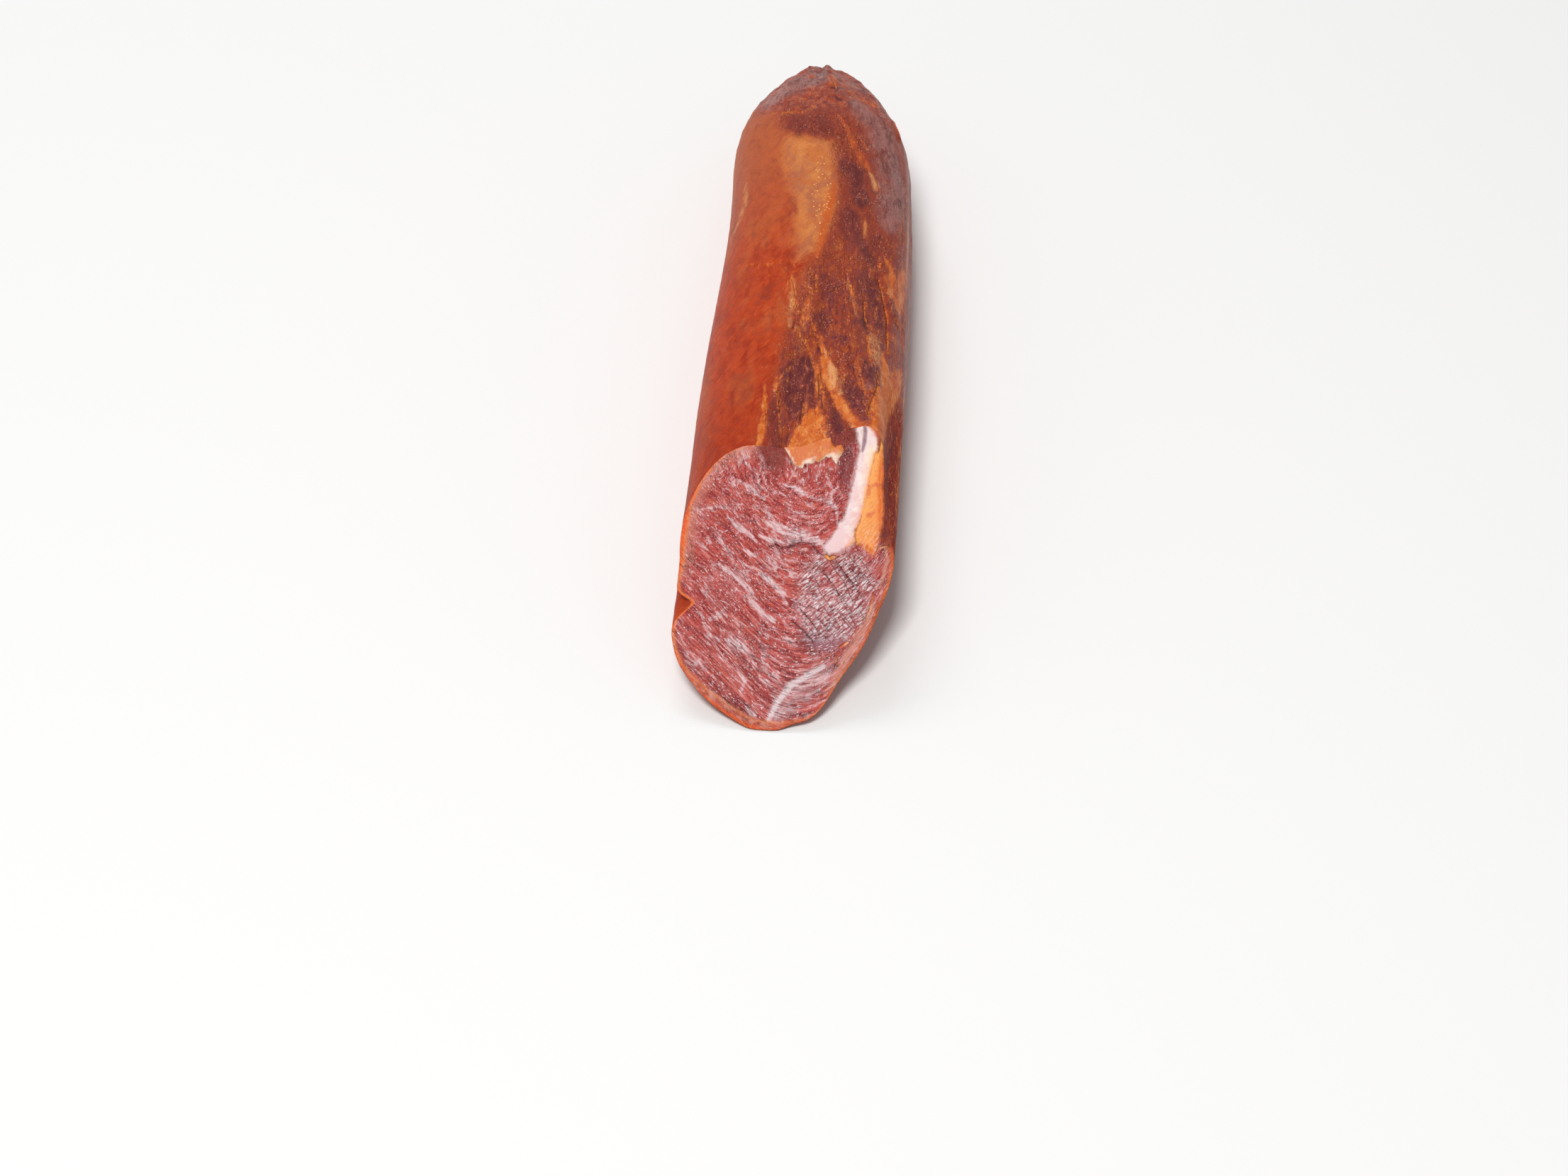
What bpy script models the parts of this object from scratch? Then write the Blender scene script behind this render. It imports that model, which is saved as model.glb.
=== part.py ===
"""Iberian cured pork loin: the end of a whole dried loin, tied end at +Y, slanting cut at -Y.

Metres, +Z up. The loin lies on its back side along Y, on a narrow flat strip, and its bounding
box is centred on the origin in X and Y with its lowest face at Z = 0.
"""

import math

import bpy
import numpy as np

# Whole loin
LENGTH = 0.2988
HALF_WIDTH = 0.0348
END_HALF_WIDTH = 0.0309
HEIGHT = 0.0546
END_HEIGHT = 0.0520
AXIS_HEIGHT = 0.0270
TOP_FULLNESS = 2.42
BOTTOM_FULLNESS = 2.18
BEND = 0.0046

# Narrow strip underneath that has settled flat, and the soft bend of the skin beside it
FLAT_DEPTH = 0.0007
FLAT_EASE = 0.0005

# Foot of the cut, which stands a little clear of what the loin lies on
TOE_LIFT = 0.0005
TOE_LENGTH = 0.0150

# Rounded end and the puckered knot of skin at its tip
DOME_LENGTH = 0.0660
DOME_CURVE = 1.94
DOME_BLUNTNESS = 0.86
TIP_HEIGHT = 0.0250
KNOT_RADIUS = 0.0078
KNOT_LENGTH = 0.0095
KNOT_JOIN = 4.0
PUCKER_COUNT = 9
PUCKER_DEPTH = 0.0008
PUCKER_LENGTH = 0.0300

# Slanting cut
CUT_SLOPE = math.radians(34.4)
LIP_ANGLE = 84.0
LIP_WIDTH = 13.0
LIP_HEIGHT = 0.0008
LIP_THICKNESS = 0.0060

# Swellings and hollows that run along the loin:
# angle round the section and its spread (degrees), height, distances over which it fades
SWELLS = {
    "left_shoulder": (140.0, 24.0, -0.0006, 0.080, 0.170),
    "left_edge": (177.0, 9.0, -0.0022, 0.060, 0.110),
    "left_groove": (187.5, 5.5, -0.0072, 0.030, 0.190),
    "left_lobe": (200.0, 11.0, 0.0013, 0.040, 0.150),
    "lower_left": (235.0, 22.0, -0.0011, 0.040, 0.150),
    "lower_corner": (279.0, 13.0, -0.0014, 0.020, 0.060),
    "lower_right": (326.0, 31.0, -0.0080, 0.060, 0.170),
    "right_edge": (352.0, 14.0, -0.0020, 0.036, 0.064),
    "right_dent": (22.0, 11.0, -0.0028, 0.070, 0.140),
    "right_corner": (49.0, 11.5, 0.0064, 0.070, 0.140),
}

# Soft lumps and hollows of the skin: distance, angle (degrees), length, spread (degrees), height
LUMPS = {
    "brow": (0.074, 100.0, 0.011, 24.0, -0.0029),
    "fat_patch": (0.215, 98.0, 0.030, 16.0, 0.0006),
    "patch_band": (0.252, 95.0, 0.007, 24.0, -0.0006),
    "top_hollow": (0.150, 78.0, 0.035, 9.0, -0.0009),
    "top_ridge": (0.135, 62.0, 0.030, 7.0, 0.0007),
    "right_hollow": (0.165, 48.0, 0.030, 8.0, -0.0010),
    "right_ridge": (0.185, 33.0, 0.030, 8.0, 0.0006),
    "right_strip": (0.205, 10.0, 0.028, 6.0, -0.0010),
    "left_flank": (0.130, 165.0, 0.040, 20.0, 0.0007),
    "under_left": (0.190, 215.0, 0.045, 18.0, -0.0009),
    "under_right": (0.205, 325.0, 0.045, 18.0, -0.0008),
    "knot_shoulder": (0.288, 155.0, 0.006, 32.0, 0.0016),
}

# Relief of the cut meat, placed by the distance across and up the cut from the foot of its middle:
# across, up, half length, half width, direction (degrees from across), height
CUT_RELIEF = {
    "ledge": (0.0075, 0.0560, 0.0120, 0.0035, -2.0, 0.0009),
    "under_ledge": (0.0080, 0.0500, 0.0130, 0.0030, -4.0, -0.0007),
    "fat_seam": (0.0200, 0.0740, 0.0160, 0.0032, 75.0, 0.0007),
    "lower_hollow": (0.0080, 0.0170, 0.0140, 0.0070, 50.0, -0.0008),
    "left_swell": (-0.0150, 0.0380, 0.0160, 0.0110, -45.0, 0.0006),
}

# Resolution of the solid
AROUND = 68
ALONG = 64
CUT_RINGS = 13


def fade(x, start, end):
    """Goes smoothly from 0 at start to 1 at end."""
    t = np.clip((x - start) / (end - start), 0.0, 1.0)
    return t * t * (3.0 - 2.0 * t)


def turn(angle, centre):
    """Signed difference of two angles, in degrees, between -180 and 180."""
    return (angle - centre + 180.0) % 360.0 - 180.0


def hump(x, width):
    """A round hump of height 1 that falls away over the width."""
    return np.exp(-((x / width) ** 2))


def plain_radius(distance, angle):
    """Distance of the skin from the loin's axis, before the end closes."""
    a = HALF_WIDTH + (END_HALF_WIDTH - HALF_WIDTH) * fade(distance, 0.02, 0.24)
    height = HEIGHT + (END_HEIGHT - HEIGHT) * fade(distance, 0.06, 0.24)
    axis = AXIS_HEIGHT * height / HEIGHT
    across = np.cos(np.radians(angle))
    up = np.sin(np.radians(angle))
    fullness = BOTTOM_FULLNESS + (TOP_FULLNESS - BOTTOM_FULLNESS) * fade(up, -0.3, 0.3)
    b = np.where(up > 0.0, height - axis, axis)
    radius = (np.abs(across / a) ** fullness + np.abs(up / b) ** fullness) ** (-1.0 / fullness)
    for centre, spread, amount, near, far in SWELLS.values():
        radius = radius + amount * hump(turn(angle, centre), spread) * (1.0 - fade(distance, near, far))
    return radius, axis


def closing(distance, angle, radius):
    """Radius after the end has closed in a dome and a knot of gathered skin."""
    left = LENGTH - distance
    inside = np.clip(1.0 - left / DOME_LENGTH, 0.0, 1.0)
    dome = radius * np.maximum(1.0 - inside**DOME_CURVE, 0.0) ** DOME_BLUNTNESS
    nose = np.clip(1.0 - left / KNOT_LENGTH, 0.0, 1.0)
    knot = KNOT_RADIUS * np.sqrt(np.maximum(1.0 - nose**2.4, 0.0))
    joined = (dome**KNOT_JOIN + knot**KNOT_JOIN) ** (1.0 / KNOT_JOIN)
    blend = fade(left, 0.6 * DOME_LENGTH, DOME_LENGTH)
    closed = joined * (1.0 - blend) + dome * blend
    relief = PUCKER_DEPTH * np.cos(np.radians(angle * PUCKER_COUNT)) * hump(left - 0.010, PUCKER_LENGTH)
    for place, centre, length, spread, amount in LUMPS.values():
        relief = relief + amount * hump(distance - place, length) * hump(turn(angle, centre), spread)
    return closed + relief * fade(left, 0.0, 0.005)


def settled(z):
    """Height above the flat strip: nothing below the strip, a soft bend beside it."""
    above = np.maximum(z - FLAT_DEPTH, 0.0)
    bend = above**2 / (4.0 * FLAT_EASE)
    return np.where(above < 2.0 * FLAT_EASE, bend, above - FLAT_EASE)


def skin_point(distance, angle):
    """X and Z of the skin at a distance from the foot of the cut and an angle round the axis."""
    radius, axis = plain_radius(distance, angle)
    closed = closing(distance, angle, radius)
    share = np.clip(closed / radius, 0.0, 1.0)
    x = closed * np.cos(np.radians(angle)) - BEND * fade(distance, 0.19, LENGTH)
    z = axis + (TIP_HEIGHT - axis) * (1.0 - share) + closed * np.sin(np.radians(angle))
    toe = TOE_LIFT * (1.0 - fade(distance, 0.0, TOE_LENGTH))
    return x, settled(z) + toe


def lip_height(angle):
    """How far the layer of fat at the top stands out of the cut."""
    return LIP_HEIGHT * hump(turn(angle, LIP_ANGLE), LIP_WIDTH)


def cut_distance(angle):
    """Distance at which the slanting cut meets the skin, for each angle."""
    distance = np.full_like(angle, 0.04)
    for _ in range(40):
        _, z = skin_point(distance, angle)
        distance = z / math.tan(CUT_SLOPE) - lip_height(angle) / math.sin(CUT_SLOPE)
    return distance


def cut_relief(across, up):
    """Height of the meat over the plane of the cut."""
    height = np.zeros_like(across)
    for x, v, long_half, wide_half, direction, amount in CUT_RELIEF.values():
        c = math.cos(math.radians(direction))
        s = math.sin(math.radians(direction))
        along = ((across - x) * c + (up - v) * s) / long_half
        aside = (-(across - x) * s + (up - v) * c) / wide_half
        height = height + amount * np.exp(-(along**2) - aside**2)
    return height


def skin_rings():
    """Rings of the skin from the rim of the cut to just before the tip, and the tip itself."""
    angle = np.linspace(-180.0, 180.0, AROUND, endpoint=False)
    start = cut_distance(angle)
    rings = []
    for i in range(ALONG):
        step = 1.0 - (1.0 - i / ALONG) ** 1.5
        distance = start + step * (LENGTH - start)
        x, z = skin_point(distance, angle)
        rings.append(np.stack([x, distance, z], axis=-1))
    x, z = skin_point(np.array([LENGTH]), np.array([0.0]))
    return angle, rings, np.array([x[0], LENGTH, z[0]])


def cut_rings(angle, rim):
    """Rings of the cut inside its rim, from the outside inwards, and the middle."""
    lean = np.array([0.0, math.cos(CUT_SLOPE), math.sin(CUT_SLOPE)])
    outward = np.array([0.0, -math.sin(CUT_SLOPE), math.cos(CUT_SLOPE)])
    across = rim[:, 0]
    up = rim @ lean
    lip = lip_height(angle)
    mid_across = across.mean()
    mid_up = 0.5 * (up.min() + up.max())
    reach = np.hypot(across - mid_across, up - mid_up)
    rings = []
    for i in range(1, CUT_RINGS + 1):
        share = 1.0 - i / (CUT_RINGS + 1.0)
        u = mid_across + share * (across - mid_across)
        v = mid_up + share * (up - mid_up)
        edge = (1.0 - share) * reach
        height = lip * (1.0 - fade(edge, 0.5 * LIP_THICKNESS, 1.4 * LIP_THICKNESS))
        height = height + cut_relief(u, v) * fade(edge, 0.0, 0.003)
        rings.append(u[:, None] * np.array([1.0, 0.0, 0.0]) + v[:, None] * lean + height[:, None] * outward)
    rise = cut_relief(np.array([mid_across]), np.array([mid_up]))[0]
    middle = mid_across * np.array([1.0, 0.0, 0.0]) + mid_up * lean + rise * outward
    return rings, middle


def ring_faces(first, second):
    """Triangles between two rings of vertex numbers."""
    faces = []
    for j in range(AROUND):
        k = (j + 1) % AROUND
        faces.append((first[j], second[k], first[k]))
        faces.append((first[j], second[j], second[k]))
    return faces


def fan_faces(ring, point):
    """Triangles from a ring of vertex numbers to one point."""
    return [(ring[(j + 1) % AROUND], ring[j], point) for j in range(AROUND)]


def build_mesh():
    """Vertices and triangles of the whole loin."""
    angle, skin, tip = skin_rings()
    cut, middle = cut_rings(angle, skin[0])
    order = cut[::-1] + skin
    vertices = np.concatenate(order + [middle[None, :], tip[None, :]])
    numbers = np.arange(len(order) * AROUND).reshape(len(order), AROUND)
    faces = fan_faces(numbers[0][::-1], len(vertices) - 2)
    for i in range(len(order) - 1):
        faces += ring_faces(numbers[i], numbers[i + 1])
    faces += fan_faces(numbers[-1], len(vertices) - 1)
    low = vertices.min(axis=0)
    high = vertices.max(axis=0)
    vertices = vertices - np.array([0.5 * (low[0] + high[0]), 0.5 * (low[1] + high[1]), low[2]])
    return vertices, faces


def cured_meat():
    """Plain reddish brown of the dried skin."""
    material = bpy.data.materials.new("cured_meat")
    material.use_nodes = True
    shader = material.node_tree.nodes["Principled BSDF"]
    shader.inputs["Base Color"].default_value = (0.30, 0.075, 0.030, 1.0)
    shader.inputs["Roughness"].default_value = 0.45
    return material


def build():
    """Makes the loin as one object."""
    for old in list(bpy.data.objects):
        bpy.data.objects.remove(old, do_unlink=True)
    vertices, faces = build_mesh()
    mesh = bpy.data.meshes.new("cured_loin")
    mesh.from_pydata([tuple(float(c) for c in v) for v in vertices], [], [tuple(int(i) for i in f) for f in faces])
    mesh.update()
    loin = bpy.data.objects.new("cured_loin", mesh)
    bpy.context.scene.collection.objects.link(loin)
    mesh.materials.append(cured_meat())


build()
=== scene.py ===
"""Iberian cured pork loin: its look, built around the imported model."""

import logging
import math
from dataclasses import dataclass, field
from enum import Enum

import bpy
import numpy as np
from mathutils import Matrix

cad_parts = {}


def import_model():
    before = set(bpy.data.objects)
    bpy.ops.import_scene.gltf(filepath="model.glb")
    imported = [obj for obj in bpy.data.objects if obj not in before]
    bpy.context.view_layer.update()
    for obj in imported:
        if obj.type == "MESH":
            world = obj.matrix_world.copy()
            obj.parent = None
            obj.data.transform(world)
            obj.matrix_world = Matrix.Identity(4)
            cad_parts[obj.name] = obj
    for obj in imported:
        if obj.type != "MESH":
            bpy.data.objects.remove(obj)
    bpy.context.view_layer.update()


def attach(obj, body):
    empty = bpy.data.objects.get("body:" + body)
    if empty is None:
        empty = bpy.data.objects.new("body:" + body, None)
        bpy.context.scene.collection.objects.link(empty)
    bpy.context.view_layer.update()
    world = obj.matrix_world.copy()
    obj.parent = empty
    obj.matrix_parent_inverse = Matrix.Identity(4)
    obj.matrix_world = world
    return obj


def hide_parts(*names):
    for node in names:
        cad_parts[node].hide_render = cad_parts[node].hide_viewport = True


LOG = logging.getLogger("cured_loin")
NODE = "cured_loin"
MM = 0.001

Array = np.ndarray
Place = tuple[float, float]
Span = tuple[float, float]
Colour = tuple[float, float, float]
Sizes = tuple[float, float, float]

TOP = 90.0
FAR_AWAY = 1e6
HASH_STEPS = np.array([73856093, 19349663, 83492791])
HASH_SEED = 2654435761
HASH_MIX = 1274126177
HASH_BITS = 0xFFFFFFFF
HALF_BITS = 0xFFFF
LAYER_SUM = 1.6


class Surface(Enum):
    """The two dressed surfaces of the loin, in the order of the mesh's material slots."""

    SKIN = 0
    MEAT = 1


class Pattern(Enum):
    """The random patterns of the relief, each with its seed."""

    STRINGS = 11
    COARSE = 17
    PORES = 23
    LUMPS = 29
    FIBRES = 31
    ROUGH = 37
    WAVES = 41
    RIBS = 43
    FOLDS = 53


def paint(red: float, green: float, blue: float) -> Colour:
    """Turns a colour as a screen shows it, 0 to 255, into a shader's linear colour.

    Args:
        red: Red, 0 to 255.
        green: Green, 0 to 255.
        blue: Blue, 0 to 255.

    Returns:
        The linear colour, 0 to 1.
    """
    shares = (red / 255.0, green / 255.0, blue / 255.0)
    return tuple(c / 12.92 if c <= 0.04045 else ((c + 0.055) / 1.055) ** 2.4 for c in shares)


def fade(x: Array, start: float | Array, end: float | Array) -> Array:
    """Goes smoothly from 0 at start to 1 at end.

    Args:
        x: Values.
        start: Where the rise begins.
        end: Where it ends.

    Returns:
        The eased share of the way, 0 to 1.
    """
    t = np.clip((x - start) / (end - start), 0.0, 1.0)
    return t * t * (3.0 - 2.0 * t)


def hump(x: Array, width: float) -> Array:
    """A round hump of height 1 that falls away over the width.

    Args:
        x: Distance from its top.
        width: Its spread.

    Returns:
        Height at each place.
    """
    return np.exp(-((x / width) ** 2))


def turn(angle: Array, centre: float) -> Array:
    """Signed difference of two angles in degrees.

    Args:
        angle: Angles.
        centre: The angle they are compared with.

    Returns:
        Differences between -180 and 180.
    """
    return (angle - centre + 180.0) % 360.0 - 180.0


def grainy(points: Array, seed: int) -> Array:
    """Smooth random heights over space, the same on every run.

    Args:
        points: Places, three numbers each, one unit apart where the heights change.
        seed: Which pattern.

    Returns:
        Heights between -1 and 1.
    """
    cell = np.floor(points).astype(np.int64)
    part = points - cell
    ease = part * part * part * (part * (part * 6.0 - 15.0) + 10.0)
    total = np.zeros(len(points))
    for corner in range(8):
        step = np.array([corner & 1, (corner >> 1) & 1, (corner >> 2) & 1])
        mixed = np.bitwise_xor.reduce((cell + step) * HASH_STEPS, axis=1) ^ seed * HASH_SEED
        mixed = (mixed ^ (mixed >> 13)) * HASH_MIX & HASH_BITS
        value = ((mixed ^ (mixed >> 16)) & HALF_BITS) * 2.0 / HALF_BITS - 1.0
        total = total + value * np.prod(np.where(step == 1, ease, 1.0 - ease), axis=1)
    return total


def layered(points: Array, pattern: Pattern, layers: int = 3) -> Array:
    """Several layers of smooth random heights, each finer and weaker.

    Args:
        points: Places, three numbers each.
        pattern: Which pattern.
        layers: How many layers.

    Returns:
        Heights, about -1 to 1.
    """
    total = np.zeros(len(points))
    for layer in range(layers):
        total = total + grainy(points * 2.0**layer, pattern.value + layer) * 0.5**layer
    return total / LAYER_SUM


def on_sheet(x: Array, y: Array, size: Place, pattern: Pattern, layers: int = 2) -> Array:
    """Smooth random heights over a flat sheet.

    Args:
        x: Places across the sheet.
        y: Places up the sheet.
        size: How far apart the heights change, across and up.
        pattern: Which pattern.
        layers: How many layers.

    Returns:
        Heights, about -1 to 1.
    """
    return layered(np.stack([x / size[0], y / size[1], np.zeros_like(x)], axis=-1), pattern, layers)


def swung(x: Array, y: Array, direction: float) -> tuple[Array, Array]:
    """Places counted along a direction and across it.

    Args:
        x: Places across the sheet.
        y: Places up the sheet.
        direction: The direction, in degrees from across.

    Returns:
        Places along the direction and across it.
    """
    c = math.cos(math.radians(direction))
    s = math.sin(math.radians(direction))
    return x * c + y * s, y * c - x * s


def to_line(x: Array, y: Array, start: Place, end: Place, square: float) -> tuple[Array, Array]:
    """Finds the nearest place of a straight line.

    Args:
        x: Places across the sheet.
        y: Places up the sheet.
        start: Where the line starts.
        end: Where it ends.
        square: Its length, squared.

    Returns:
        Distance from the line, and the share of the way along it.
    """
    wide = end[0] - start[0]
    high = end[1] - start[1]
    share = np.clip(((x - start[0]) * wide + (y - start[1]) * high) / square, 0.0, 1.0)
    return np.hypot(x - start[0] - share * wide, y - start[1] - share * high), share


def deselect_all() -> None:
    """Leaves no object selected."""
    for other in bpy.context.selected_objects:
        other.select_set(False)


@dataclass(frozen=True)
class Swell:
    """A swelling or hollow along the loin: angle and spread in degrees, the rest in metres."""

    angle: float
    spread: float
    height: float
    near: float
    far: float


@dataclass(frozen=True)
class Lump:
    """A soft lump or hollow of the skin: its angle and spread in degrees, the rest in metres."""

    distance: float
    angle: float
    length: float
    spread: float
    height: float


@dataclass(frozen=True)
class Mound:
    """A soft rise or dip of the cut meat, in metres across and up the cut, its direction in degrees."""

    across: float
    up: float
    half_length: float
    half_width: float
    direction: float
    height: float


@dataclass(frozen=True)
class Patch:
    """An oval patch with a soft edge, in millimetres on a flat sheet, its direction in degrees."""

    x: float
    y: float
    half_length: float
    half_width: float
    direction: float
    edge: float
    strength: float = 1.0

    def weight(self, x: Array, y: Array) -> Array:
        """How much of the patch lies at each place.

        Args:
            x: Places across the sheet, in millimetres.
            y: Places up the sheet.

        Returns:
            The strength inside, 0 outside.
        """
        along, aside = swung(x - self.x, y - self.y, self.direction)
        reach = np.hypot(along / self.half_length, aside / self.half_width)
        return self.strength * (1.0 - fade(reach, 1.0 - self.edge, 1.0 + self.edge))


@dataclass(frozen=True)
class Strand:
    """A line through a few places on a flat sheet, in millimetres, with a width that fades at its sides."""

    places: tuple[Place, ...]
    half_width: float
    edge: float
    strength: float
    taper: float

    def weight(self, x: Array, y: Array) -> Array:
        """How much of the strand lies at each place.

        Args:
            x: Places across the sheet, in millimetres.
            y: Places up the sheet.

        Returns:
            The strength on the line, 0 away from it.
        """
        best = np.full(x.shape, FAR_AWAY)
        run = np.zeros(x.shape)
        lengths = [math.dist(a, b) for a, b in zip(self.places, self.places[1:])]
        before = 0.0
        for start, end, length in zip(self.places, self.places[1:], lengths):
            gap, share = to_line(x, y, start, end, length**2)
            run = np.where(gap < best, (before + share * length) / sum(lengths), run)
            best = np.minimum(best, gap)
            before += length
        ends = 1.0 - self.taper + self.taper * np.sqrt(np.clip(4.0 * run * (1.0 - run), 0.0, 1.0))
        width = self.half_width * ends
        return self.strength * (1.0 - fade(best, width * (1.0 - self.edge), width * (1.0 + self.edge)))


@dataclass(frozen=True)
class Area:
    """An area inside a closed outline on a flat sheet, in millimetres."""

    outline: tuple[Place, ...]
    edge: float
    strength: float

    def weight(self, x: Array, y: Array) -> Array:
        """How much of the area lies at each place.

        Args:
            x: Places across the sheet, in millimetres.
            y: Places up the sheet.

        Returns:
            The strength inside, 0 outside.
        """
        return self.strength * fade(self.depth(x, y), -self.edge, self.edge)

    def depth(self, x: Array, y: Array, limit: float = FAR_AWAY) -> Array:
        """How far inside the outline each place lies.

        Args:
            x: Places across the sheet, in millimetres.
            y: Places up the sheet.
            limit: The most that is told.

        Returns:
            Millimetres, below 0 outside.
        """
        nearest = np.full(x.shape, FAR_AWAY)
        inside = np.zeros(x.shape, dtype=bool)
        for start, end in zip(self.outline, self.outline[1:] + self.outline[:1]):
            (x0, y0), (x1, y1) = start, end
            gap, _ = to_line(x, y, start, end, (x1 - x0) ** 2 + (y1 - y0) ** 2)
            nearest = np.minimum(nearest, gap)
            if y0 != y1:
                crosses = ((y0 > y) != (y1 > y)) & (x < x0 + (y - y0) * (x1 - x0) / (y1 - y0))
                inside = inside ^ crosses
        return np.clip(np.where(inside, nearest, -nearest), -limit, limit)


Mark = Patch | Strand | Area


def overlaid(marks: tuple[Mark, ...], x: Array, y: Array) -> Array:
    """Strongest of several marks at each place.

    Args:
        marks: The marks.
        x: Places across the sheet, in millimetres.
        y: Places up the sheet.

    Returns:
        The strongest weight, 0 or more.
    """
    weight = np.zeros(x.shape)
    for mark in marks:
        weight = np.maximum(weight, mark.weight(x, y))
    return weight


@dataclass
class LoinShape:
    """Outer form of the loin, in metres and degrees.

    It is the solid's, but for a narrower, shorter groove at the left rim. The radius that the
    skin is unrolled with is in millimetres.
    """

    length: float = 0.2988
    half_width: float = 0.0348
    end_half_width: float = 0.0309
    height: float = 0.0546
    end_height: float = 0.0520
    axis_height: float = 0.0270
    top_fullness: float = 2.42
    bottom_fullness: float = 2.18
    fullness_ease: float = 0.3
    narrowing: Span = (0.02, 0.24)
    lowering: Span = (0.06, 0.24)
    bend: float = 0.0046
    bend_start: float = 0.19
    flat_depth: float = 0.0007
    flat_ease: float = 0.0005
    dome_length: float = 0.0660
    dome_curve: float = 1.94
    dome_bluntness: float = 0.86
    dome_blend: float = 0.6
    tip_height: float = 0.0250
    knot_radius: float = 0.0078
    knot_length: float = 0.0095
    knot_curve: float = 2.4
    knot_join: float = 4.0
    tip_ease: float = 0.005
    pucker_count: int = 9
    pucker_depth: float = 0.0008
    pucker_place: float = 0.010
    pucker_length: float = 0.0300
    cut_slope: float = math.radians(34.4)
    cut_guess: float = 0.04
    cut_rounds: int = 40
    lip_angle: float = 84.0
    lip_width: float = 13.0
    lip_height: float = 0.0008
    toe_lift: float = 0.0005
    toe_length: float = 0.0150
    middle_across: float = -0.0006026
    middle_up: float = 0.0488597
    origin_across: float = -0.00060683
    origin_along: float = 0.14976275
    skin_radius: float = 31.0
    swells: tuple[Swell, ...] = (
        Swell(140.0, 24.0, -0.0006, 0.080, 0.170),
        Swell(177.0, 9.0, -0.0014, 0.060, 0.110),
        Swell(187.8, 3.3, -0.0057, 0.040, 0.100),
        Swell(200.0, 11.0, 0.0013, 0.040, 0.150),
        Swell(235.0, 22.0, -0.0011, 0.040, 0.150),
        Swell(279.0, 13.0, -0.0014, 0.020, 0.060),
        Swell(326.0, 31.0, -0.0080, 0.060, 0.170),
        Swell(352.0, 14.0, -0.0020, 0.036, 0.064),
        Swell(22.0, 11.0, -0.0028, 0.070, 0.140),
        Swell(49.0, 11.5, 0.0064, 0.070, 0.140),
    )
    lumps: tuple[Lump, ...] = (
        Lump(0.074, 100.0, 0.011, 24.0, -0.0029),
        Lump(0.215, 98.0, 0.030, 16.0, 0.0006),
        Lump(0.252, 95.0, 0.007, 24.0, -0.0006),
        Lump(0.150, 78.0, 0.035, 9.0, -0.0009),
        Lump(0.135, 62.0, 0.030, 7.0, 0.0007),
        Lump(0.165, 48.0, 0.030, 8.0, -0.0010),
        Lump(0.185, 33.0, 0.030, 8.0, 0.0006),
        Lump(0.205, 10.0, 0.028, 6.0, -0.0010),
        Lump(0.130, 165.0, 0.040, 20.0, 0.0007),
        Lump(0.190, 215.0, 0.045, 18.0, -0.0009),
        Lump(0.205, 325.0, 0.045, 18.0, -0.0008),
        Lump(0.288, 155.0, 0.006, 32.0, 0.0016),
    )
    mounds: tuple[Mound, ...] = (
        Mound(0.0080, 0.0500, 0.0130, 0.0030, -4.0, -0.0005),
        Mound(0.0200, 0.0740, 0.0160, 0.0032, 75.0, 0.0006),
        Mound(0.0080, 0.0170, 0.0140, 0.0070, 50.0, -0.0008),
        Mound(-0.0150, 0.0380, 0.0160, 0.0110, -45.0, 0.0006),
    )

    def plain_radius(self, distance: Array, angle: Array) -> tuple[Array, Array]:
        """Distance of the skin from the loin's axis before the end closes.

        Args:
            distance: Distance from the foot of the cut.
            angle: Angle round the axis in degrees, 90 at the top.

        Returns:
            The radius, and the height of the axis.
        """
        a = self.half_width + (self.end_half_width - self.half_width) * fade(distance, *self.narrowing)
        height = self.height + (self.end_height - self.height) * fade(distance, *self.lowering)
        axis = self.axis_height * height / self.height
        across = np.cos(np.radians(angle))
        up = np.sin(np.radians(angle))
        upper = fade(up, -self.fullness_ease, self.fullness_ease)
        fullness = self.bottom_fullness + (self.top_fullness - self.bottom_fullness) * upper
        b = np.where(up > 0.0, height - axis, axis)
        radius = (np.abs(across / a) ** fullness + np.abs(up / b) ** fullness) ** (-1.0 / fullness)
        for swell in self.swells:
            shape = hump(turn(angle, swell.angle), swell.spread)
            radius = radius + swell.height * shape * (1.0 - fade(distance, swell.near, swell.far))
        return radius, axis

    def closing(self, distance: Array, angle: Array, radius: Array) -> Array:
        """Radius after the end has closed in a dome and a knot of gathered skin.

        Args:
            distance: Distance from the foot of the cut.
            angle: Angle round the axis in degrees.
            radius: The plain radius.

        Returns:
            The closed radius.
        """
        left = self.length - distance
        inside = np.clip(1.0 - left / self.dome_length, 0.0, 1.0)
        dome = radius * np.maximum(1.0 - inside**self.dome_curve, 0.0) ** self.dome_bluntness
        nose = np.clip(1.0 - left / self.knot_length, 0.0, 1.0)
        knot = self.knot_radius * np.sqrt(np.maximum(1.0 - nose**self.knot_curve, 0.0))
        joined = (dome**self.knot_join + knot**self.knot_join) ** (1.0 / self.knot_join)
        blend = fade(left, self.dome_blend * self.dome_length, self.dome_length)
        closed = joined * (1.0 - blend) + dome * blend
        folds = np.cos(np.radians(angle * self.pucker_count))
        relief = self.pucker_depth * folds * hump(left - self.pucker_place, self.pucker_length)
        for lump in self.lumps:
            spot = hump(distance - lump.distance, lump.length) * hump(turn(angle, lump.angle), lump.spread)
            relief = relief + lump.height * spot
        return closed + relief * fade(left, 0.0, self.tip_ease)

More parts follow.
